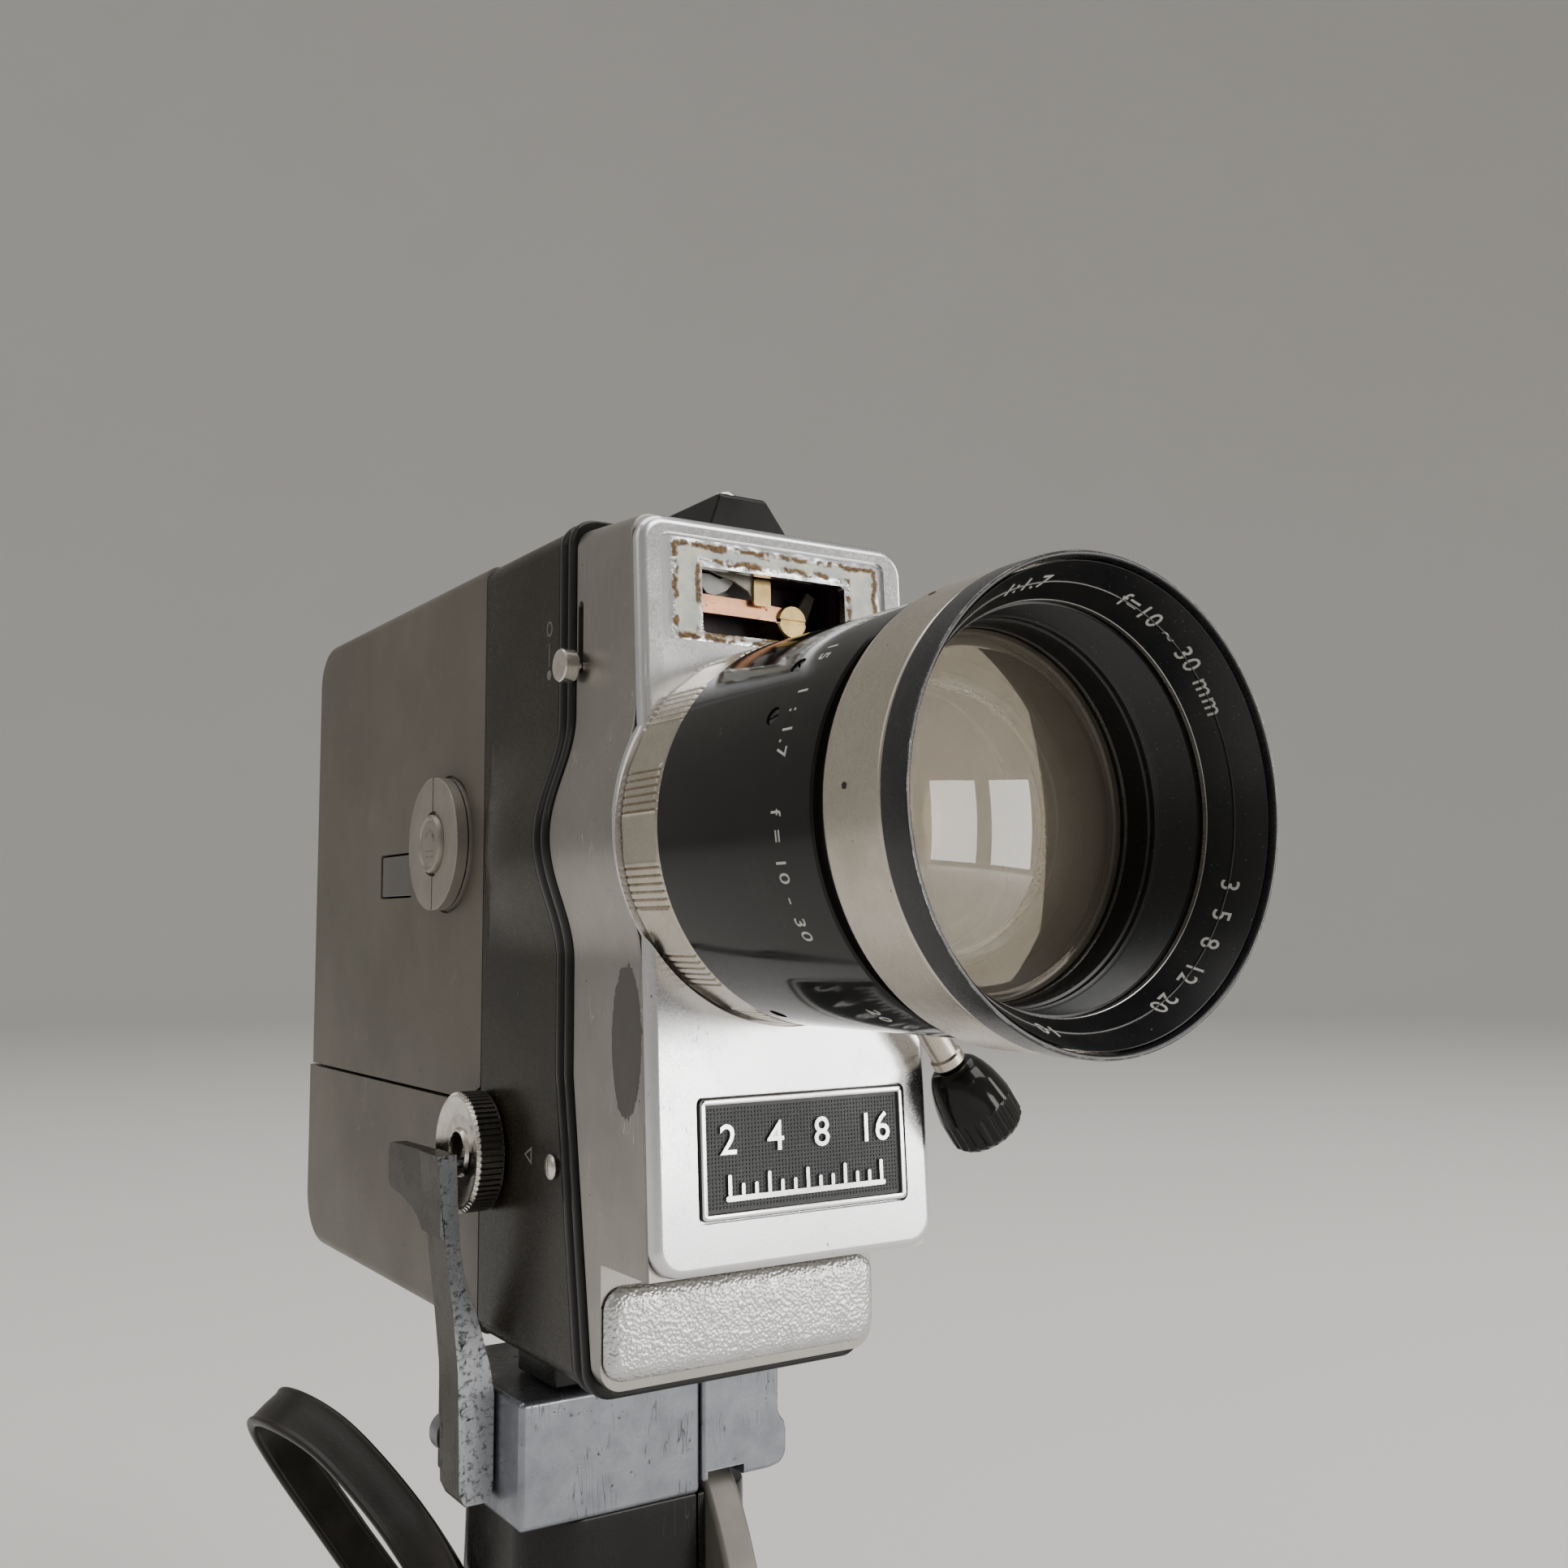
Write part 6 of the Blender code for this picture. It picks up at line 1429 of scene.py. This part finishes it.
# ---- zoom handle: a chrome stem and a ribbed black teardrop knob
def makeKnob():
    turnKnob = Matrix.Rotation(math.radians(-lens["knobTurn"] - 90), 4, "Y")
    place = Matrix.Translation((0, lens["knobY"], 0)) @ turnKnob
    stem = lathe("Z", [(0, -27.4), (2.9, -27.4), (2.9, -28.4), (2.5, -28.8), (2.2, -29.4), (2.2, -41.0), (2.6, -41.3),
                       (2.6, -42.6), (2.2, -43.0), (0, -43.0)], steps=64)
    stem.transform(place)
    makePiece("zoomStem", stem, "lens_silver", "zoom_group", ["zoom_stem"], angle=35)
    profile = [(1.8, -43.3), (3.2, -43.5), (3.9, -44.1), (4.6, -45.4), (5.2, -47.0), (5.65, -48.8), (5.9, -50.4)]
    stations = list(profile)

    def ribbed(t):
        return 5.95 - 0.38 * (0.5 - 0.5 * math.cos(t * 22)) ** 1.5

    stations += [(5.98, -50.7), (ribbed, -51.0), (ribbed, -55.0), (lambda t: ribbed(t) - 0.3, -55.4), (5.2, -55.9),
                 (4.6, -56.2), (3.2, -56.45), (0.6, -56.6)]
    knob = spun("Z", stations, steps=22 * 10)
    knob.transform(place)
    makePiece("zoomKnob", knob, "barrel_black", "zoom_group", ["zoom_knob"], angle=40)


makeKnob()
print("numbers and knob made")


# ---- clamp, grip and trigger
clamp = {"top": -88.5, "low": -108.5, "front": 39.5, "back": 76.0, "split": 8.9, "pivot": (-27.0, -98.0), "edge": 1.0}


def makeClamp():
    c = clamp
    low, high = nodeBox("clamp_neck")
    neck = rough("clampNeck", block(low.x, high.x, low.y, high.y, low.z, high.z))
    roundEdges(neck, 0.5, 3)
    settle(neck)
    carve(neck, rod("Z", 3.6, -95, -75, (0, 49), 48))
    finishPiece(neck, "grip_black", covers=["clamp_neck"], angle=35)
    piece = rough("clampBlock", block(-24, c["split"] - 0.2, c["front"], c["back"], c["low"], c["top"]))
    roundEdges(piece, c["edge"], 5)
    settle(piece)
    carve(piece, rod("Z", 3.6, -120, -75, (0, 49), 48))
    carve(piece, rod("Z", 6.4, -120, -104.0, (0, 49), 64))
    x, z = c["pivot"]
    lug = roundedRect(-30, -20, z - 3.2, z + 3.2, (3, 0, 0, 3), 10)
    carve(piece, slab("Y", lug, 60.0, 63.5), "UNION")
    carve(piece, rod("Y", 1.75, 55, 62.2, c["pivot"], 32))
    finishPiece(piece, "worn_blue_grey", covers=["clamp_block"], angle=35)
    s = c["split"] + 0.2
    outline = [(s, -107.0), (22.5, -107.0)] + arcPoints(23.1, -104.0, 3.0, -60, 0, 8) + [(26.1, -101.0),
            (25.8, -99.6), (24.9, -98.5), (24.5, -97.4), (24.5, c["top"]), (s, c["top"])]
    cheek = rough("clampCheek", slab("Y", outline, c["front"], c["back"]))
    roundEdges(cheek, 0.75, 4, 50)
    settle(cheek)
    carve(cheek, block(10.1, 17.3, 36, 54, -110, -105.2))
    finishPiece(cheek, "worn_blue_grey", covers=["clamp_cheek"], angle=35)
    screw = lathe("Z", [(0, -80.2), (2.8, -80.2), (3.2, -80.7), (3.2, -104.4), (5.7, -104.4), (6.0, -104.8),
                        (6.0, -107.2), (5.7, -107.6), (0, -107.6)], (0, 49), 48)
    slotted = rough("tripodScrew", screw)
    carve(slotted, block(-8, 8, 48.3, 49.7, -109, -106.6))
    finishPiece(slotted, "pin_steel", covers=["tripod_screw"], edge=0.1)
    pin = lathe("Y", [(0, 47.6), (1.1, 47.6), (1.5, 47.9), (1.5, 61.9), (0, 61.9)], c["pivot"], 32)
    pinLow = nodeBox("arm_pivot_pin")[0].y
    pin.transform(Matrix.Translation((0, 0, 0)))
    for vert in pin.verts:
        vert.co.y = max(vert.co.y, pinLow)
    bmesh.ops.remove_doubles(pin, verts=pin.verts, dist=0.01)
    makePiece("armPivotPin", pin, "pin_steel", covers=["arm_pivot_pin"], angle=35)


makeClamp()
grip = {"top": -108.8, "low": -196.7, "split": 8.9, "front": 41.0, "back": 76.5, "half": 21.0}


# half of the grip's section at a height: the left half up to the split, or the right half from it
def gripRing(z, side, inset=0.0):
    g = grip
    swollen = 1.5 * math.sin(math.pi * (z + 200.0) / 92) ** 2
    front, back, half = g["front"] - 0.6 * swollen + inset, g["back"] + swollen - inset, g["half"] + 0.4 * swollen - inset
    if side < 0:
        corner = arcPoints(-half + 9, front + 9, 9, 270, 180, 20) + arcPoints(-half + 9, back - 9, 9, 180, 90, 20)
        edge = g["split"] - 0.2 - inset
    else:
        corner = arcPoints(half - 7, front + 7, 7, 270, 360, 20) + arcPoints(half - 7, back - 7, 7, 0, 90, 20)
        edge = g["split"] + 0.2 + inset
    return [(x, y, z) for x, y in [(edge, front)] + corner + [(edge, back)]]


def makeGrip():
    g = grip
    count = 40

    def rings(side):
        made = [gripRing(g["top"], side, 0.5), gripRing(g["top"] - 0.15, side, 0.15), gripRing(g["top"] - 0.5, side)]
        made += [gripRing(g["top"] - 0.5 + (g["low"] + 1.0 - g["top"]) * i / count, side) for i in range(1,
                count + 1)]
        return made + [gripRing(g["low"] + 0.15, side, 0.15), gripRing(g["low"], side, 0.5)]

    left = rough("gripLeft", loft(rings(-1)))
    for i in range(9):    # finger grooves round the back of the grip's heel
        z = -176 + 4.2 * i
        carve(left, block(-30, 30, g["back"] + 0.9, 90, z, z + 0.9))
    finishPiece(left, "grip_black", covers=["grip_left"], angle=35, edge=0.12)
    right = rough("gripRight", loft(rings(1)))
    carve(right, block(10.2, 17.2, 20, 57, -158, -100))
    carve(right, rod("X", 1.3, 0, 30, (48.0, -113.0), 32))
    finishPiece(right, "grip_black", covers=["grip_right"], angle=35, edge=0.12)
    low, high = nodeBox("base_cap")

    def outline(inset):
        return roundedRect(low.x + inset, high.x - inset, low.y + inset, high.y - inset, (9 - inset,) * 4, 14)

    makePiece("baseCap", pillow("Z", outline, low.z, high.z, 0.5, 0.5, 4, True), "eyecup_rubber", covers=["base_cap"])
    low, high = nodeBox("trigger_pin")
    makePiece("triggerPin", rod("X", 1.1, low.x, high.x, (48.0, -113.0), 32, 0.15), "pin_steel",
              covers=["trigger_pin"])
    front = [(43.0, -106.6), (41.4, -107.8), (40.0, -109.5), (38.2, -112.2), (36.5, -115.0), (35.0, -118.0),
             (33.6, -121.0), (32.6, -124.5), (32.2, -128.0), (32.2, -132.5), (32.6, -137.0), (33.4, -141.5),
             (34.5, -146.0), (36.2, -148.2)]
    back = [(39.0, -148.5), (41.2, -147.6), (42.0, -146.0), (42.0, -132.0), (42.8, -128.0), (44.5, -124.0),
            (47.6, -120.2), (52.0, -117.0), (52.5, -108.5), (50.0, -106.6)]
    trigger = rough("trigger", slab("X", front + back, 10.6, 16.8))
    roundEdges(trigger, 0.9, 5, 60)
    settle(trigger)
    carve(trigger, rod("X", 1.25, 0, 30, (48.0, -113.0), 32))
    finishPiece(trigger, "trigger_grey", "trigger", ["trigger"], angle=35)


makeGrip()


# ---- release arm: lacquered, its front face worn bare, with a hook over the dial
def makeArm():
    outer = [(-34.8, -50.4), (-34.2, -55.5), (-33.6, -60.5), (-32.8, -67.5), (-31.9, -74.6), (-31.3, -80.0),
             (-30.8, -85.0), (-30.5, -95.0), (-30.3, -104.0), (-29.3, -106.0)]
    inner = [(-25.0, -106.0), (-24.5, -103.0), (-24.5, -92.0), (-24.5, -89.2), (-25.2, -84.9), (-26.5, -80.2),
             (-28.0, -75.1), (-29.2, -71.9), (-30.0, -69.3), (-30.6, -65.8), (-30.9, -62.4), (-31.2, -56.5),
             (-31.5, -50.4)]
    arm = rough("releaseArm", slab("Y", outer + inner, 49.0, 57.5))
    hook = [(49.5, -50.5), (60.0, -50.6), (73.2, -50.8), (74.6, -51.2), (75.2, -52.4), (75.1, -57.0), (74.6, -58.2),
            (73.2, -58.7), (68.0, -59.3), (62.5, -60.6), (60.0, -61.8), (58.0, -63.5), (49.5, -63.8)]
    carve(arm, slab("X", hook, -33.9, -31.4), "UNION")
    carve(arm, rod("Y", 1.65, 49.9, 70, clamp["pivot"], 32))
    roundEdges(arm, 0.45, 3, 45)
    settle(arm)
    carve(arm, rod("X", 0.9, -32.0, -27.9, dials["plunger"], 24), "UNION")
    finishPiece(arm, "arm_lacquer", "release_arm", ["release_arm"], angle=40)


makeArm()
print("clamp, grip and arm made")


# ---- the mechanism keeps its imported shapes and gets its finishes
def dress(name, finish):
    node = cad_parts[name]
    node.data.materials.clear()
    node.data.materials.append(finishes[finish])
    print("dressed", name)


for name, finish in (("mechanism_plate", "chamber_black"), ("film_gate", "pin_steel"), ("take_up_spindle", "pin_steel"), ("shutter_disc", "chamber_black"),
                     ("motor", "pin_steel"), ("motor_pinion", "brass"), ("drive_gear", "brass"), ("battery_pack", "cell_jacket")):
    dress(name, finish)


# ---- floor, backdrop and lights
studio = {"floorRadius": 3.2, "bend": 1.6, "height": 5.0, "floorColour": (0.82, 0.81, 0.79), "ambient": 0.34,
          "lamps": {"windowLeft": {"at": (0.70, -1.52, 0.26), "size": (0.34, 0.46), "power": 4.2,
                                   "colour": (1.0, 0.98, 0.94)},
                    "windowRight": {"at": (1.08, -1.27, 0.26), "size": (0.34, 0.46), "power": 4.2,
                                    "colour": (1.0, 0.98, 0.94)},
                    "tallWindow": {"at": (1.46, -0.90, 0.66), "size": (0.30, 0.85), "power": 5.5,
                                   "colour": (1.0, 0.96, 0.88)},
                    "front": {"at": (0.75, -1.35, 1.75), "size": (1.3, 1.0), "power": 20,
                              "colour": (1.0, 0.99, 0.97)},
                    "fill": {"at": (-1.6, 0.5, 1.4), "size": (1.4, 1.4), "power": 4, "colour": (1.0, 0.94, 0.86)},
                    "top": {"at": (0.0, 0.2, 2.2), "size": (1.8, 1.8), "power": 20, "colour": (1.0, 0.99, 0.97)}}}


def makeStudio():
    material = bpy.data.materials.new("floor_paper")
    material.use_nodes = True
    tree = material.node_tree
    shader = tree.nodes["Principled BSDF"]
    place = addNode(tree, "TexCoord").outputs["Object"]
    clouds = addNode(tree, "TexNoise", {"Vector": place, "Scale": 3.0, "Detail": 4.0}).outputs["Fac"]
    tone = studio["floorColour"]
    tree.links.new(blendColour(tree, spread(tree, clouds, 0.3, 0.7), tone, tuple(c * 0.985 for c in tone)),
                   shader.inputs["Base Color"])
    shader.inputs["Roughness"].default_value = 0.9
    shader.inputs["Specular IOR Level"].default_value = 0.2
    shape = bmesh.new()
    sides = 96
    flat, bend, height = studio["floorRadius"], studio["bend"], studio["height"]
    profile = [(0.05, 0.0), (0.6, 0.0), (flat, 0.0)]
    profile += [(flat + bend * math.sin(math.radians(a)), bend * (1 - math.cos(math.radians(a)))) for a in range(6,
            91, 6)]
    profile += [(flat + bend, height)]
    rings = []
    for radius, z in profile:
        turns = [2 * math.pi * i / sides for i in range(sides)]
        rings.append([shape.verts.new((radius * math.cos(t), radius * math.sin(t), z)) for t in turns])
    shape.faces.new(list(reversed(rings[0])))
    for low, high in zip(rings, rings[1:]):
        for i in range(sides):
            shape.faces.new((low[i], high[i], high[(i + 1) % sides], low[(i + 1) % sides]))
    bmesh.ops.recalc_face_normals(shape, faces=shape.faces)
    mesh = bpy.data.meshes.new("studioFloor")
    shape.to_mesh(mesh)
    shape.free()
    mesh.shade_smooth()
    mesh.materials.append(material)
    floor = bpy.data.objects.new("studioFloor", mesh)
    bpy.context.scene.collection.objects.link(floor)
    aim = lensAt + Vector((0, 20, -20)) * mm
    for name, look in studio["lamps"].items():
        lamp = bpy.data.lights.new(name, "AREA")
        lamp.shape = "RECTANGLE"
        lamp.size, lamp.size_y = look["size"]
        lamp.energy = look["power"]
        lamp.color = look["colour"]
        stand = bpy.data.objects.new(name, lamp)
        bpy.context.scene.collection.objects.link(stand)
        at = Vector(look["at"])
        stand.matrix_world = Matrix.Translation(at) @ (aim - at).to_track_quat("-Z", "Y").to_matrix().to_4x4()
    world = bpy.data.worlds.new("studio")
    bpy.context.scene.world = world
    world.use_nodes = True
    sky = world.node_tree.nodes.get("Background") or world.node_tree.nodes.new("ShaderNodeBackground")
    sky.inputs["Color"].default_value = (1.0, 0.985, 0.96, 1)
    sky.inputs["Strength"].default_value = studio["ambient"]


makeStudio()
print("studio made")
